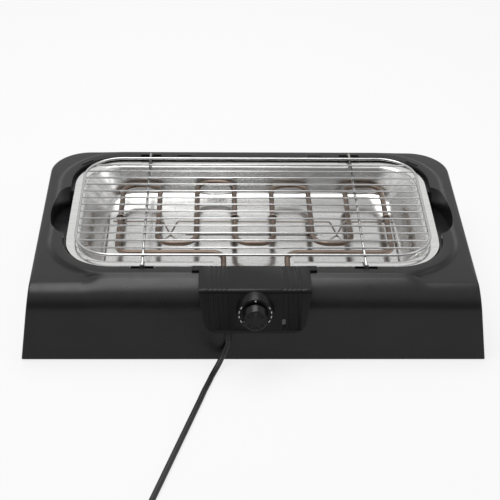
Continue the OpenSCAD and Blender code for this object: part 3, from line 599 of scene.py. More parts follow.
def notchLining():
    # U-shaped wall of the notch, from the well to just inside the front
    b = controlBox
    inner = boxOutline(b["gap"], b["liningTop"])
    outer = boxOutline(b["gap"] + shell["wall"], b["liningTop"])
    n = len(inner)
    verts = [Vector((x, frontY(z, 0.8) if front else b["liningBack"], z)) * mm
             for points, front in ((inner, True), (outer, True), (outer, False), (inner, False))
             for x, z in points]
    faces = []
    for k in range(4):
        start, end = k * n, ((k + 1) % 4) * n
        faces += [(start + i, start + i + 1, end + i + 1, end + i) for i in range(n - 1)]
    faces += [(0, n, 2 * n, 3 * n), (4 * n - 1, 3 * n - 1, 2 * n - 1, n - 1)]
    return newObject("notch_lining", verts, faces)


def notchCutter():
    return alongY("notch_cutter", boxOutline(controlBox["gap"], 130), -180, -105)


def cordSlot():
    # opening under the control box through which the cord leaves
    x, r, top = cord["tip"][0], 4.5, 47
    return alongY("cord_slot", arcXY(x, 38.5, r, 180, 360, 16) + [(x + r, top), (x - r, top)], -190, -137)


def scoopLining(side):
    # floor and wall of a finger scoop
    outline = scoopOutline(side, shell["wall"] - 0.3, scoop["inner"])
    inner = scoopOutline(side, 0, scoop["inner"])
    top, floor = scoop["liningTop"], shell["deck"] - scoop["depth"]
    n = len(outline)
    levels = ((inner, top), (outline, top), (outline, floor - shell["wall"]), (inner, floor))
    verts = [Vector((x, y, z)) * mm for points, z in levels for x, y in points]
    faces = []
    for a, b in ((0, 1), (1, 2)):
        faces += [(a * n + i, a * n + i + 1, b * n + i + 1, b * n + i) for i in range(n - 3)]
    faces += [(3 * n + i, 3 * n + i + 1, i + 1, i) for i in range(n - 3)]
    faces += [tuple(range(2 * n, 3 * n)), tuple(reversed(range(3 * n, 4 * n)))]
    return newObject("scoop_lining", verts, faces)


def boxMesh(name, low, high):
    verts = [Vector((x, y, z)) * mm for z in (low[2], high[2]) for y in (low[1], high[1])
             for x in (low[0], high[0])]
    faces = [(0, 2, 3, 1), (4, 5, 7, 6), (0, 1, 5, 4), (2, 6, 7, 3), (0, 4, 6, 2), (1, 3, 7, 5)]
    return newObject(name, verts, faces)


def turned(obj, place, degrees):
    turn = Matrix.Rotation(math.radians(degrees), 4, "Z")
    obj.data.transform(Matrix.Translation(Vector(place) * mm) @ turn)
    return obj


bandSlots = [(83, 151.4, 0), (-83, 151.4, 0), (205, 132.3, -42), (-205, 132.3, 42)]
slotSize = (18, 2.2)
feet = {"x": 237.25, "front": -135, "back": 150.25, "pad": 26, "low": 2.05, "top": 5.0, "hole": 3.1}
rests = {"x": 126, "half": 13.65, "deep": 5.65, "floor": 87.5, "gap": 0.3, "wall": 2.6}


def restSpots():
    # each spot's side, middle of the well's edge and way out of the well
    r = rests
    return [(side * r["x"], y, way) for side in (-1, 1)
            for y, way in ((shell["wellBack"] + r["gap"], 1), (shell["wellFront"] - r["gap"], -1))]


def restBox(name, spot, low, high):
    # box measured from a rest's spot, with y running out of the well
    x, y, way = spot
    ya, yb = sorted((y + way * low[1], y + way * high[1]))
    return boxMesh(name, (x + low[0], ya, low[2]), (x + high[0], yb, high[2]))


def restBlocks():
    # floor and walls of the four pockets for the grate's rests
    r = rests
    out = []
    for spot in restSpots():
        x0, x1, wall, floor = r["half"], r["half"] + r["wall"] - 0.2, r["wall"], r["floor"]
        parts = [((-x1, 0.2, floor - wall), (x1, r["deep"] + wall, floor)),
                 ((-x1, 0.2, floor), (-x0, r["deep"] + wall, floor + 1.3)),
                 ((x0, 0.2, floor), (x1, r["deep"] + wall, floor + 1.3)),
                 ((-x0, r["deep"], floor), (x0, r["deep"] + wall, floor + 1.3))]
        out += [restBox("rest_block", spot, low, high) for low, high in parts]
    return out


def footPads():
    # flat pads in the shell's lower corners, with a hole for each foot's stem
    f = feet
    level = shoulderLevels(shell["wall"] - 0.6)[-1]
    grow = shell["flare"] - shell["wall"] + 0.6
    inner = roundedOutline(shell["half"] + grow, level[0] - 60, shell["back"] + grow,
                           shell["rear"] + grow)
    plan = [(x, max(y, level[0] + 0.4)) for x, y in inner]
    out = []
    for side in (-1, 1):
        for y in (f["front"], f["back"]):
            x = side * f["x"]
            pad = boxMesh("pad", (x - f["pad"], y - f["pad"], f["low"]),
                          (x + f["pad"], y + f["pad"], f["top"]))
            hole = lathe("hole", [(0, -2), (f["hole"], -2), (f["hole"], 9), (0, 9)], (x, y, 1),
                         Matrix(), 24)
            cutWith(pad, [hole])
            cutWith(pad, [prism("limit", plan, 0, 12)], "INTERSECT")
            out.append(pad)
    return out


def makeShell():
    verts, faces = bridge(shellLoops(), True)
    obj = newObject("shell", scaled(verts), faces)
    tidyMesh(obj)
    cutters = [notchCutter()]
    for side in (-1, 1):
        floor = shell["deck"] - scoop["depth"]
        cutters.append(prism("scoop_cutter", scoopOutline(side, 0, 200), floor, 110))
    cutters.append(boxMesh("tube_cutter", (-50, -106, 64), (50, -90, 110)))
    for x, y, a in bandSlots:
        w, d = slotSize[0] / 2, slotSize[1] / 2
        cutters.append(turned(boxMesh("slot_cutter", (-w, -d, 80), (w, d, 100)), (x, y, 0), a))
    r = rests
    cutters += [restBox("pocket", spot, (-r["half"], -3, r["floor"]), (r["half"], r["deep"], 110))
                for spot in restSpots()]
    cutters.append(cordSlot())
    cutWith(obj, cutters)
    lining = notchLining()
    cutWith(lining, [cordSlot()])
    joinPieces(obj, [lining, scoopLining(-1), scoopLining(1)] + restBlocks() + footPads())
    smoothMesh(obj.data, 28)
    return wrapUp(obj, "shell_plastic", "base", "base_shell")


shellPiece = makeShell()
print("shell made")


# polished drip tray

tray = {
    "half": 204.5,  # inner edge of the rim
    "halfDepth": 109.4, "radius": 44, "y": 23, "rim": 13, "top": 87.5, "depth": 34.5,
    "sideSlope": 28, "endSlope": 12, "bead": 1.5, "cutHalf": 46, "cutBack": -74.4, "cutBottom": 65,
}


def trayLoop(grow, share, z):
    t = tray
    halfY = t["halfDepth"] + grow - share * t["endSlope"]
    radius = max(3.0, t["radius"] + grow - share * t["endSlope"])
    outline = roundedOutline(t["half"] + grow - share * t["sideSlope"], t["y"] - halfY,
                             t["y"] + halfY, radius)
    return [Vector((x, y, z)) for x, y in outline]


def makeTray():
    t = tray
    top, low, b = t["top"], t["top"] - t["depth"], t["bead"]
    edge = t["rim"] - b
    # how far outward, share of the wall's slope, height: floor, wall, rim and bead, then back below
    places = [(-96, 1, low + 0.5), (-70, 1, low + 0.35), (-40, 1, low + 0.15), (-18, 1, low)]
    places += [(-9, 1, low), (-5.5, 1, low + 0.12), (-3.2, 0.99, low + 0.7), (-1.8, 0.965, low + 1.9),
               (-1.1, 0.93, low + 3.2)]
    places += [(-1, s, top - t["depth"] * s) for s in (0.8, 0.6, 0.4, 0.22)]
    places += [(-1, 0.12, top - 4.1), (-0.85, 0.07, top - 2.3), (-0.4, 0.03, top - 1.0),
               (0.5, 0, top - 0.25), (1.7, 0, top), (5, 0, top), (edge, 0, top)]
    for a in (67, 45, 22, 0, -25, -50, -75, -100, -130, -160, -195):
        places.append((edge + b * math.cos(math.radians(a)), 0, top - b + b * math.sin(math.radians(a))))
    places += [(5, 0, top - 1), (2, 0, top - 1), (0.6, 0.02, top - 1.9), (0, 0.12, top - 4.6)]
    places += [(0, s, top - t["depth"] * s - 0.4) for s in (0.3, 0.6, 0.93)]
    places += [(-1.2, 1, low - 0.7), (-4, 1, low - 1), (-18, 1, low - 1), (-96, 1, low - 0.6)]
    verts, faces = bridge([trayLoop(*p) for p in places], False)
    n = len(verts) // len(places)
    faces += [tuple(range(n)), tuple(range(len(verts) - n, len(verts)))]
    obj = newObject("drip_tray_pan", scaled(verts), faces)
    tidyMesh(obj, 0.01)
    cut = boxMesh("notch", (-t["cutHalf"], -140, t["cutBottom"]), (t["cutHalf"], t["cutBack"], 130))
    cutWith(obj, [cut])
    smoothMesh(obj.data, 42)
    return wrapUp(obj, "tray_metal", "tray", "drip_tray")


trayPiece = makeTray()
print("tray made")


# heating element, and the wire that carries it

element = {
    "tube": 6.5, "z": 72,
    "x": 2.5,  # middle of the element
    "pitch": 46, "loop": 18, "bend": 14, "terminal": 36.8, "backs": (110, 118, 110, 110),
    "loopFront": -25, "run": -44.7, "end": -123,
}


def makeElement():
    e = element
    legs = [e["x"] + (i - 3.5) * e["pitch"] for i in range(8)]
    inner = []
    for i, back in enumerate(e["backs"]):
        a, b = legs[2 * i], legs[2 * i + 1]
        inner += [(a, e["loopFront"]), (a, back), (b, back), (b, e["loopFront"])]
    left, right = e["x"] - e["terminal"], e["x"] + e["terminal"]
    corners = [(left, e["end"]), (left, e["run"]), (legs[0], e["run"])] + inner[1:-1]
    corners += [(legs[7], e["run"]), (right, e["run"]), (right, e["end"])]
    bends = [0, e["bend"], e["bend"]] + [e["loop"]] * 14 + [e["bend"], e["bend"], 0]
    points = bentPath([Vector((x, y, e["z"])) for x, y in corners], bends, 12)
    obj = tubeMesh("element_loops", [(points, False)], e["tube"] / 2, 20)
    return wrapUp(obj, "element_tube", "control_unit", "heating_element")


support = {
    "wire": 2.2, "y": 31, "z": 67.55, "floor": 54.1, "foot": 101, "footHalf": 9,
    "lean": 8,  # how far a foot's tip comes forward
    "ringStep": 1.4,
}


def makeSupport():
    s = support
    x0, y, z = element["x"], s["y"], s["z"]
    r = s["wire"] / 2
    end = 3.5 * element["pitch"] + s["footHalf"]
    half = [Vector((x0 + x, y - (s["lean"] if low else 0), s["floor"] if low else z))
            for x, low in ((s["foot"] - s["footHalf"], 0), (s["foot"], 1),
                           (s["foot"] + s["footHalf"], 0), (end, 0))]
    points = [Vector((2 * x0 - p.x, p.y, p.z)) for p in reversed(half)] + half
    runs = [(easedPath(points, 2.2), False)]
    ring = element["tube"] / 2 + r + 0.1
    for i in (-3.5, -0.5, 0.5, 3.5):
        centre = Vector((x0 + i * element["pitch"], y + s["ringStep"], element["z"]))
        runs.append(([centre + ring * Vector((math.cos(a), 0, math.sin(a)))
                      for a in (2 * math.pi * k / 28 for k in range(28))], True))
    obj = tubeMesh("support_rail", runs, r, 12)
    return wrapUp(obj, "support_steel", "control_unit", "support_wire")


elementPiece = makeElement()
supportPiece = makeSupport()
print("element made")


# wire grate

grate = {
    "half": 205, "halfDepth": 111, "y": 23, "radius": 45, "ring": 3.2, "ringZ": 96.95, "wire": 2.2,
    "wireZ": 96.45, "wires": 13, "rod": 3.2, "rodZ": 93.9, "rodX": 126, "rodEnds": (-105.3, 151.3),
}


def makeGrate():
    g = grate
    h, d, r, y = g["half"], g["halfDepth"], g["radius"], g["y"]
    corners = [Vector((sx * h, y + sy * d, g["ringZ"])) for sx, sy in ((-1, -1), (1, -1), (1, 1), (-1, 1))]
    ring = tubeMesh("grate_ring", [(bentPath(corners, [r] * 4, 14), True)], g["ring"] / 2, 16)
    runs = []
    for i in range(1, g["wires"] + 1):
        at = -d + 2 * d * i / (g["wires"] + 1)
        over = abs(at) - (d - r)
        half = h if over <= 0 else h - r + math.sqrt(r * r - over * over)
        half -= g["ring"] / 2 - 0.9  # the ends are welded to the ring
        runs.append(([Vector((-half, y + at, g["wireZ"])), Vector((half, y + at, g["wireZ"]))], False))
    wires = tubeMesh("grate_wires", runs, g["wire"] / 2)
    runs = [([Vector((s * g["rodX"], e, g["rodZ"])) for e in g["rodEnds"]], False) for s in (-1, 1)]
    rods = tubeMesh("grate_rods", runs, g["rod"] / 2, 16)
    return [wrapUp(obj, "grate_wire", "grate", node)
            for obj, node in ((ring, "grill_ring"), (wires, "grill_wires"), (rods, "grill_rods"))]


def makeRests():
    # dark inserts in the band's pockets: two open cells and a ribbed seat for a rod's end
    floor, seat = rests["floor"], grate["rodZ"] - grate["rod"] / 2
    out = []
    for spot in restSpots():
        x, y, way = spot
        body = restBox("rest", spot, (-13.5, -0.6, floor), (13.5, 5.5, shell["deck"] + shell["band"] + 0.1))
        roundEdges(body, 0.4, 50, 2)
        cells = [restBox("cell", spot, (a, 0.3, floor + 0.8), (a + 9.9, 4.6, 120)) for a in (-12.6, 2.7)]
        trough = restBox("trough", spot, (-1.8, -3, seat), (1.8, 3, 120))
        ribs = [restBox("rib", spot, (a, -0.6, floor + 1), (a + 0.9, 4.7, floor + 6)) for a in (-2.7, 1.8)]
        cutWith(body, ribs, "UNION")
        cutWith(body, cells + [trough])
        pegs = [lathe("peg", [(0, 0), (1.4, 0), (1.4, 4.7), (0, 4.7)], (x + a, y + way * 2.75, floor - 4.6),
                      Matrix(), 20) for a in (-9, 9)]
        joinPieces(body, pegs)
        out.append(body)
    joinPieces(out[0], out[1:])
    out[0].name = "grate_rests"
    smoothMesh(out[0].data, 35)
    return wrapUp(out[0], "rest_plastic", "base", "grill_rests")


gratePieces = makeGrate()
restPiece = makeRests()
print("grate made")


# control box

groove = {"first": 31, "pitch": 5, "count": 5, "width": 1.2, "deep": 1.0, "low": 46.5}
boss = {"front": -167.75, "z": 71, "radius": 20, "backRadius": 23, "depth": 22}
lens = {"x": 31.8, "z": 57, "width": 4, "height": 7.5}


def faceY(z):
    b = controlBox
    return b["faceY"] + (z - shell["deck"]) * math.tan(math.radians(b["faceLean"]))


def sideOutline(inset, extra=0.0):
    # side view of the box (y, z): along its top, over the front edge and down the face
    b = controlBox
    r = b["topRadius"] - inset
    lean = b["faceLean"]
    cy = faceY(b["top"] - b["topRadius"]) + b["topRadius"] / math.cos(math.radians(lean))
    cz = b["top"] - b["topRadius"]
    low = b["bottom"] + inset
    out = [(b["back"] + extra, b["top"] - inset)] + arcXY(cy, cz, r, 90, 180 - lean, 10)
    return out + [(faceY(low) + inset / math.cos(math.radians(lean)), low), (b["back"] + extra, low)]


def boxSolid(name, inset, back):
    # the box's leaning, rounded form
    obj = alongY(name, boxOutline(-inset, controlBox["top"] - inset), -200, controlBox["back"] + back)
    cutWith(obj, [alongX("side", sideOutline(inset, back + 5), -90, 90)], "INTERSECT")
    return obj


def grooveCutter():
    # thin bands that follow the box's top and face, one for each groove
    g = groove
    path = [p for p in sideOutline(g["deep"], 3)[:-1] if p[1] > g["low"]]
    over = [p for p in sideOutline(-2, 3)[:-1] if p[1] > g["low"]]
    path.append((faceY(g["low"]) + g["deep"], g["low"]))
    over.append((faceY(g["low"]) - 2, g["low"]))
    bands = []
    for i in range(g["count"]):
        for side in (-1, 1):
            x = side * (g["first"] + i * g["pitch"])
            bands.append(alongX("groove", path + over[::-1], x - g["width"] / 2, x + g["width"] / 2))
    joinPieces(bands[0], bands[1:])
    editMesh(bands[0].data, lookOutward)
    return bands[0]


def lensOutline(grow):
    w, h = lens["width"] / 2 + grow, lens["height"] / 2 + grow
    top = arcXY(lens["x"], lens["z"] + h - w, w, 0, 180, 10)
    return top + arcXY(lens["x"], lens["z"] - h + w, w, 180, 360, 10)


def makeBox():
    b, k = controlBox, boss
    obj = boxSolid("control_box", 0, 0)
    roundEdges(obj, b["edge"], 50)
    ears = []
    for side in (-1, 1):
        x0, x1 = sorted((side * 58, side * b["earHalf"]))
        ear = boxMesh("ear", (x0, b["back"] - b["earDepth"], 91.5), (x1, b["back"], b["top"]))
        roundEdges(ear, 0.7, 50)
        ears.append(ear)
    front = k["front"]
    profile = [(0, 0), (k["backRadius"], 0), (k["radius"] + 0.15, k["depth"] - 1.1)]
    profile += [(k["radius"] - 1 + math.cos(math.radians(a)), k["depth"] - 1 + math.sin(math.radians(a)))
                for a in (15, 35, 55, 75, 90)]
    floor = k["depth"] - 0.5
    profile += [(16.4, k["depth"]), (16.0, floor), (15.4, floor), (0, floor)]
    dial = lathe("dial_boss", profile, (0, front + k["depth"], k["z"]), facing, 96)
    cutWith(obj, ears + [dial], "UNION")
    lowerCut = alongY("lens_hole", lensOutline(0.15), -180, -150)
    entry = lathe("entry", [(0, -8), (4.1, -8), (4.1, 12), (0, 12)], relief["place"], reliefTurn, 32)
    cutWith(obj, [grooveCutter(), boxSolid("hollow", 2.4, 4), lowerCut, entry])
    tidyMesh(obj)
    roundEdges(obj, 0.22, 55, 2)
    smoothMesh(obj.data, 30)
    return wrapUp(obj, "box_plastic", "control_unit", "control_housing")


relief = {"place": (-29.5, -156.02, 41.5), "tilt": 11.5, "radius": 4.0, "tip": 3.6, "out": 9.9}
reliefTurn = Matrix.Rotation(math.radians(180 - relief["tilt"]), 4, "X")


def makeRelief():
    # tapered sleeve with shallow ribs
    r = relief
    profile = [(0, -11), (r["radius"], -11), (r["radius"], 0.4)]
    for i in range(4):
        h = 0.9 + 2.1 * i
        full = r["radius"] - (r["radius"] - r["tip"]) * h / r["out"]
        profile += [(full - 0.45, h), (full - 0.45, h + 0.6), (full, h + 0.9), (full - 0.02, h + 1.9)]
    profile += [(r["tip"], r["out"] - 0.5), (r["tip"] - 0.3, r["out"]), (0, r["out"])]
    obj = lathe("cord_sleeve", profile, r["place"], reliefTurn, 40, 35)
    return wrapUp(obj, "cord_rubber", "control_unit", "strain_relief")


knobForm = {
    "back": -168.25, "length": 12, "radius": 14.5, "tip": 13.2, "round": 1.2,
    "hollow": 24.5,  # distance of each finger hollow's axis
    "hollowRadius": 12.5,
}


def makeKnob():
    k = knobForm
    end = k["length"]
    profile = [(0, 0.4), (10, 0.4), (10, 0), (k["radius"] - 0.3, 0), (k["radius"], 0.3), (k["radius"], 1.0),
               (k["radius"] - 0.25, 1.5), (k["tip"] + 0.15, end - 1.3)]
    r = k["round"]
    profile += arcXY(k["tip"] - r, end - r, r, 10, 90, 4)
    profile += [(k["tip"] - 2.2, end), (k["tip"] - 2.6, end - 0.35), (0, end - 0.35)]
    obj = lathe("turning_knob", profile, (0, k["back"], boss["z"]), facing, 96)
    cuts = [lathe("hollow", [(0, 3), (k["hollowRadius"], 3), (k["hollowRadius"], 20), (0, 20)],
                  (side * k["hollow"], k["back"], boss["z"]), facing, 96) for side in (-1, 1)]
    cutWith(obj, cuts)
    roundEdges(obj, 0.35, 40, 2)
    smoothMesh(obj.data, 35)
    return wrapUp(obj, "knob_plastic", "dial", "knob")


marks = {
    "radius": 17.9,
    "angles": (10, 30, -10, -30, 170, 150, 190, 210),  # short strokes round the rim, from the right
    "length": 3.2, "width": 1.0, "dot": 1.05, "proud": 0.12,
}


def makeMarks():
    m = marks
    y = boss["front"]
    bits = []
    for a in m["angles"]:
        bits.append(boxMesh("stroke", (m["radius"] - m["width"] / 2, y - m["proud"], -m["length"] / 2),
                            (m["radius"] + m["width"] / 2, y + 0.05, m["length"] / 2)))
        roundEdges(bits[-1], 0.1, 50, 2)
        bits[-1].data.transform(Matrix.Translation((0, 0, boss["z"] * mm))
                                @ Matrix.Rotation(math.radians(-a), 4, "Y"))
    bits.append(lathe("dot", [(0, -0.05), (m["dot"], -0.05), (m["dot"], 0.08), (m["dot"] - 0.1, m["proud"]),
                              (0, m["proud"])], (0, y, boss["z"] + m["radius"]), facing, 24))
    joinPieces(bits[0], bits[1:])
    bits[0].name = "dial_marks"
    smoothMesh(bits[0].data, 30)
    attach(bits[0], "control_unit")
    return bits[0]


boxPiece = makeBox()
reliefPiece = makeRelief()
knobPiece = makeKnob()
marksPiece = makeMarks()
print("control box made")


# finishes

socketNames = {"color": "Base Color", "rough": "Roughness", "metal": "Metallic", "ior": "IOR",
               "spec": "Specular IOR Level"}
noiseSpan = (0.3, 0.7)  # where most of a noise's values lie


def newMaterial(name, **values):
    mat = bpy.data.materials.new(name)
    mat.use_nodes = True
    shader = mat.node_tree.nodes["Principled BSDF"]
    for key, value in values.items():
        shader.inputs[socketNames[key]].default_value = value
    return mat, mat.node_tree, shader


def noiseAt(tree, scale, detail=3.0, stretch=(1, 1, 1)):
    coords = tree.nodes.new("ShaderNodeTexCoord")
    mapping = tree.nodes.new("ShaderNodeMapping")
    mapping.inputs["Scale"].default_value = stretch
    noise = tree.nodes.new("ShaderNodeTexNoise")
    noise.inputs["Scale"].default_value = scale
    noise.inputs["Detail"].default_value = detail
    tree.links.new(coords.outputs["Object"], mapping.inputs["Vector"])
    tree.links.new(mapping.outputs["Vector"], noise.inputs["Vector"])
    return noise.outputs["Fac"]


def mapped(tree, value, low, high):
    node = tree.nodes.new("ShaderNodeMapRange")
    for key, v in zip(("From Min", "From Max", "To Min", "To Max"), (*noiseSpan, low, high)):
        node.inputs[key].default_value = v
    tree.links.new(value, node.inputs["Value"])
    return node.outputs["Result"]


def mixedColor(tree, value, dark, light, ends=noiseSpan):
    node = tree.nodes.new("ShaderNodeValToRGB")
    for stop, end, tint in zip(node.color_ramp.elements, ends, (dark, light)):
        stop.position = end
        stop.color = (*tint, 1)
    tree.links.new(value, node.inputs["Fac"])
    return node.outputs["Color"]


def addBump(tree, shader, value, distance, strength=1.0, before=None):
    bump = tree.nodes.new("ShaderNodeBump")
    bump.inputs["Distance"].default_value = distance
    bump.inputs["Strength"].default_value = strength
    tree.links.new(value, bump.inputs["Height"])
    if before:
        tree.links.new(before, bump.inputs["Normal"])
    tree.links.new(bump.outputs["Normal"], shader.inputs["Normal"])
    return bump.outputs["Normal"]


def plastic(name, dark, light, rough, grain=0.00003, grainScale=2600, spec=0.4):
    # moulded plastic: fine grain, faint cloudiness and uneven gloss
    mat, tree, shader = newMaterial(name, ior=1.5, spec=spec)
    cloud = noiseAt(tree, 30, 4)
    tree.links.new(mixedColor(tree, cloud, dark, light), shader.inputs["Base Color"])
    gloss = mapped(tree, noiseAt(tree, 90, 3), rough - 0.03, rough + 0.04)
    tree.links.new(gloss, shader.inputs["Roughness"])
    addBump(tree, shader, noiseAt(tree, grainScale, 2), grain, 0.5)
    return mat


def sheetMetal(name, dark, light, rough, stretch, scale=90, bump=0.00002):
    # metal with fine drawn marks and a patchy gloss
    mat, tree, shader = newMaterial(name, metal=1.0)
    marks = noiseAt(tree, scale, 5, stretch)
    tree.links.new(mixedColor(tree, marks, dark, light), shader.inputs["Base Color"])
    tree.links.new(mapped(tree, marks, rough * 0.7, rough * 1.35), shader.inputs["Roughness"])
    addBump(tree, shader, marks, bump, 0.6)
    return mat


def traySheet(name):
    # pressed bright sheet: long faint waves, drawn marks and a soft gloss
    mat, tree, shader = newMaterial(name, metal=1.0)
    marks = noiseAt(tree, 60, 6, (0.5, 9, 1))
    tint = mixedColor(tree, marks, (0.6, 0.6, 0.59), (0.68, 0.68, 0.67))
    gloss = mapped(tree, noiseAt(tree, 25, 4, (0.6, 3, 1)), 0.14, 0.26)
    tree.links.new(tint, shader.inputs["Base Color"])
    tree.links.new(gloss, shader.inputs["Roughness"])
    waves = addBump(tree, shader, noiseAt(tree, 7, 1, (0.5, 2.2, 1)), 0.0007, 0.5)
    addBump(tree, shader, marks, 0.00003, 0.5, waves)
    return mat


def setMaterial(obj, mat):
    obj.data.materials.clear()
    obj.data.materials.append(mat)


shellBlack = plastic("shell_black", (0.0085, 0.0085, 0.0092), (0.0115, 0.0115, 0.0125), 0.3, spec=0.27)
boxBlack = plastic("box_black", (0.0042, 0.0042, 0.0045), (0.006, 0.006, 0.0065), 0.28, spec=0.17)
restBlack = plastic("rest_black", (0.005, 0.005, 0.005), (0.008, 0.008, 0.008), 0.36, spec=0.25)
knobBlack = plastic("knob_black", (0.0042, 0.0042, 0.0045), (0.006, 0.006, 0.0065), 0.26, spec=0.22)
rubber = plastic("cord_rubber", (0.01, 0.01, 0.01), (0.016, 0.016, 0.016), 0.45, 0.00004, 1500)
footRubber = plastic("foot_rubber", (0.018, 0.018, 0.018), (0.03, 0.03, 0.03), 0.7, 0.00005, 1200)
printWhite = plastic("print_white", (0.72, 0.72, 0.72), (0.8, 0.8, 0.8), 0.5, 0.00001, 3000)
ceramic = plastic("ceramic_cream", (0.62, 0.58, 0.48), (0.72, 0.68, 0.58), 0.55, 0.00004, 1800)
lensSmoke = plastic("lens_smoke", (0.03, 0.026, 0.024), (0.05, 0.042, 0.038), 0.12, 0.000005, 900, 0.6)
lampGlass = plastic("lamp_glass", (0.6, 0.28, 0.14), (0.75, 0.4, 0.22), 0.15, 0.000005, 900, 0.6)
brightSheet = traySheet("bright_sheet")
chromeWire = sheetMetal("chrome_wire", (0.38, 0.38, 0.38), (0.48, 0.48, 0.48), 0.16, (6, 1, 1), 200)
zincSteel = sheetMetal("zinc_steel", (0.5, 0.5, 0.49), (0.6, 0.6, 0.59), 0.3, (1, 1, 6), 200)
brassBright = sheetMetal("brass_bright", (0.6, 0.47, 0.22), (0.7, 0.56, 0.3), 0.28, (1, 6, 1), 220)
heatedTube = sheetMetal("heated_tube", (0.11, 0.084, 0.068), (0.2, 0.155, 0.128), 0.4, (1, 1, 2),
                        45, 0.00004)
dullWire = sheetMetal("dull_wire", (0.2, 0.18, 0.16), (0.32, 0.29, 0.26), 0.4, (6, 1, 1), 200)

finishes = [  # a piece made here, or a CAD node by its name
    (shellBlack, [shellPiece]), (boxBlack, [boxPiece, "plug_body"]), (restBlack, [restPiece]),
    (knobBlack, [knobPiece]), (printWhite, [marksPiece]), (brightSheet, [trayPiece]),
    (chromeWire, gratePieces), (heatedTube, [elementPiece]), (dullWire, [supportPiece]),
    (rubber, [mainsCord, reliefPiece, "cord_sheath", "cord_tie"]), (footRubber, ["rubber_feet"]),
    (zincSteel, ["housing_back", "housing_screws", "terminal_pins", "thermostat_nut",
                 "thermostat_shaft", "clamp_screws"]),
    (brassBright, ["plug_pins", "element_bushes"]),
    (ceramic, ["thermostat_body", "terminal_block", "cord_clamp", "lamp_leads"]),
    (lensSmoke, ["pilot_lens"]), (lampGlass, ["pilot_lamp"]),
]
for node, name, dark, light in (("live_lead", "lead_brown", (0.08, 0.035, 0.018), (0.11, 0.05, 0.025)),
                                ("neutral_lead", "lead_blue", (0.01, 0.04, 0.26), (0.02, 0.06, 0.34)),
                                ("switched_lead", "lead_red", (0.35, 0.01, 0.01), (0.45, 0.02, 0.02)),
                                ("earth_lead", "lead_green", (0.02, 0.16, 0.03), (0.03, 0.22, 0.04))):
    finishes.append((plastic(name, dark, light, 0.4), [node]))
for mat, pieces in finishes:
    for piece in pieces:
        setMaterial(nodes[piece] if isinstance(piece, str) else piece, mat)
print("finishes made")


# floor, world and lamps

studio = {
    "ambient": 0.28,
    "front": 0.22,  # how bright the front of the studio looks in a glossy surface
    "ramp": (0.05, 0.55),
    "floorHalf": 6,
    "floorLow": 0.0002,  # a hair below the feet
    "floorGlow": 0.8,
}


seenRays = ["Is Camera Ray", "Is Glossy Ray", "Is Transmission Ray"]


def mathNode(tree, kind, operation):
    node = tree.nodes.new(kind)
    node.operation = operation
    return node


def pick(tree, rays):
    # 1 for any of these kinds of ray
    path = tree.nodes.new("ShaderNodeLightPath")
    last = path.outputs[rays[0]]
    for ray in rays[1:]:
        top = mathNode(tree, "ShaderNodeMath", "MAXIMUM")
        tree.links.new(last, top.inputs[0])
        tree.links.new(path.outputs[ray], top.inputs[1])
        last = top.outputs[0]
    return last


def mixShaders(tree, share, first, second, out):
    mix = tree.nodes.new("ShaderNodeMixShader")
    for k, source in enumerate((share, first.outputs[0], second.outputs[0])):
        tree.links.new(source, mix.inputs[k])
    tree.links.new(mix.outputs[0], tree.nodes[out].inputs["Surface"])


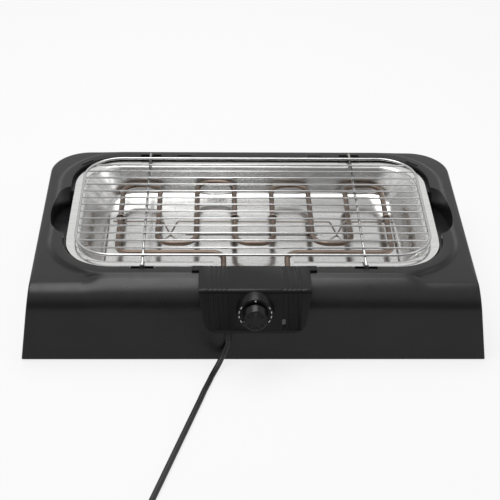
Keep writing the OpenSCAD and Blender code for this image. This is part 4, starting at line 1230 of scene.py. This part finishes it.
def makeWorld():
    # plain light for surfaces; the background and its mirror image are white, dimmer towards the front
    world = bpy.data.worlds.new("studio")
    bpy.context.scene.world = world
    world.use_nodes = True
    tree = world.node_tree
    back = tree.nodes["Background"]
    back.inputs["Strength"].default_value = studio["ambient"]
    back.inputs["Color"].default_value = (1, 1, 1, 1)
    white = tree.nodes.new("ShaderNodeBackground")
    white.inputs["Strength"].default_value = 1.0
    coords = tree.nodes.new("ShaderNodeTexCoord").outputs["Generated"]
    aside = mathNode(tree, "ShaderNodeVectorMath", "ABSOLUTE")  # either side counts as one
    tree.links.new(coords, aside.inputs[0])
    slope = tree.nodes.new("ShaderNodeMath")
    for k, (way, weights) in enumerate(((coords, (0, 0.5, 1)), (aside.outputs[0], (0.6, 0, 0)))):
        dot = mathNode(tree, "ShaderNodeVectorMath", "DOT_PRODUCT")
        dot.inputs[1].default_value = weights
        tree.links.new(way, dot.inputs[0])
        tree.links.new(dot.outputs["Value"], slope.inputs[k])
    shade = mixedColor(tree, slope.outputs["Value"], (studio["front"],) * 3, (1, 1, 1), studio["ramp"])
    only = tree.nodes.new("ShaderNodeMixRGB")
    only.inputs["Color1"].default_value = (1, 1, 1, 1)
    tree.links.new(pick(tree, ["Is Glossy Ray"]), only.inputs["Fac"])
    tree.links.new(shade, only.inputs["Color2"])
    tree.links.new(only.outputs["Color"], white.inputs["Color"])
    mixShaders(tree, pick(tree, seenRays), back, white, "World Output")


def makeFloor():
    half, low = studio["floorHalf"], studio["floorLow"]
    floor = newObject("floor", [(-half, -half, 0), (half, -half, 0), (half, half, 0), (-half, half, 0)],
                      [(0, 1, 2, 3)])
    floor.location.z = -low
    mat, tree, shader = newMaterial("floor_white", color=(0.9, 0.9, 0.9, 1), rough=0.9)
    glow = tree.nodes.new("ShaderNodeEmission")
    glow.inputs["Strength"].default_value = 1.0
    share = mathNode(tree, "ShaderNodeMath", "MULTIPLY")
    share.inputs[1].default_value = studio["floorGlow"]
    tree.links.new(pick(tree, seenRays), share.inputs[0])
    mixShaders(tree, share.outputs[0], shader, glow, "Material Output")
    setMaterial(floor, mat)


lamps = [
    # name, place, target, width, depth, watts
    ("key", (-0.25, 0.2, 1.75), (-0.1, 0.1, 0), 1.6, 0.85, 23),
    ("fill", (1.3, -0.5, 1.0), (0, 0, 0), 0.8, 0.8, 2),
]


def makeLamps():
    for name, place, target, width, depth, watts in lamps:
        data = bpy.data.lights.new(name, "AREA")
        data.shape = "RECTANGLE"
        data.size, data.size_y, data.energy = width, depth, watts
        obj = bpy.data.objects.new(name, data)
        obj.location = place
        obj.rotation_euler = (Vector(target) - Vector(place)).to_track_quat("-Z", "Y").to_euler()
        bpy.context.scene.collection.objects.link(obj)


makeWorld()
makeFloor()
makeLamps()
bpy.context.scene.view_settings.view_transform = "Standard"
print("studio ready")
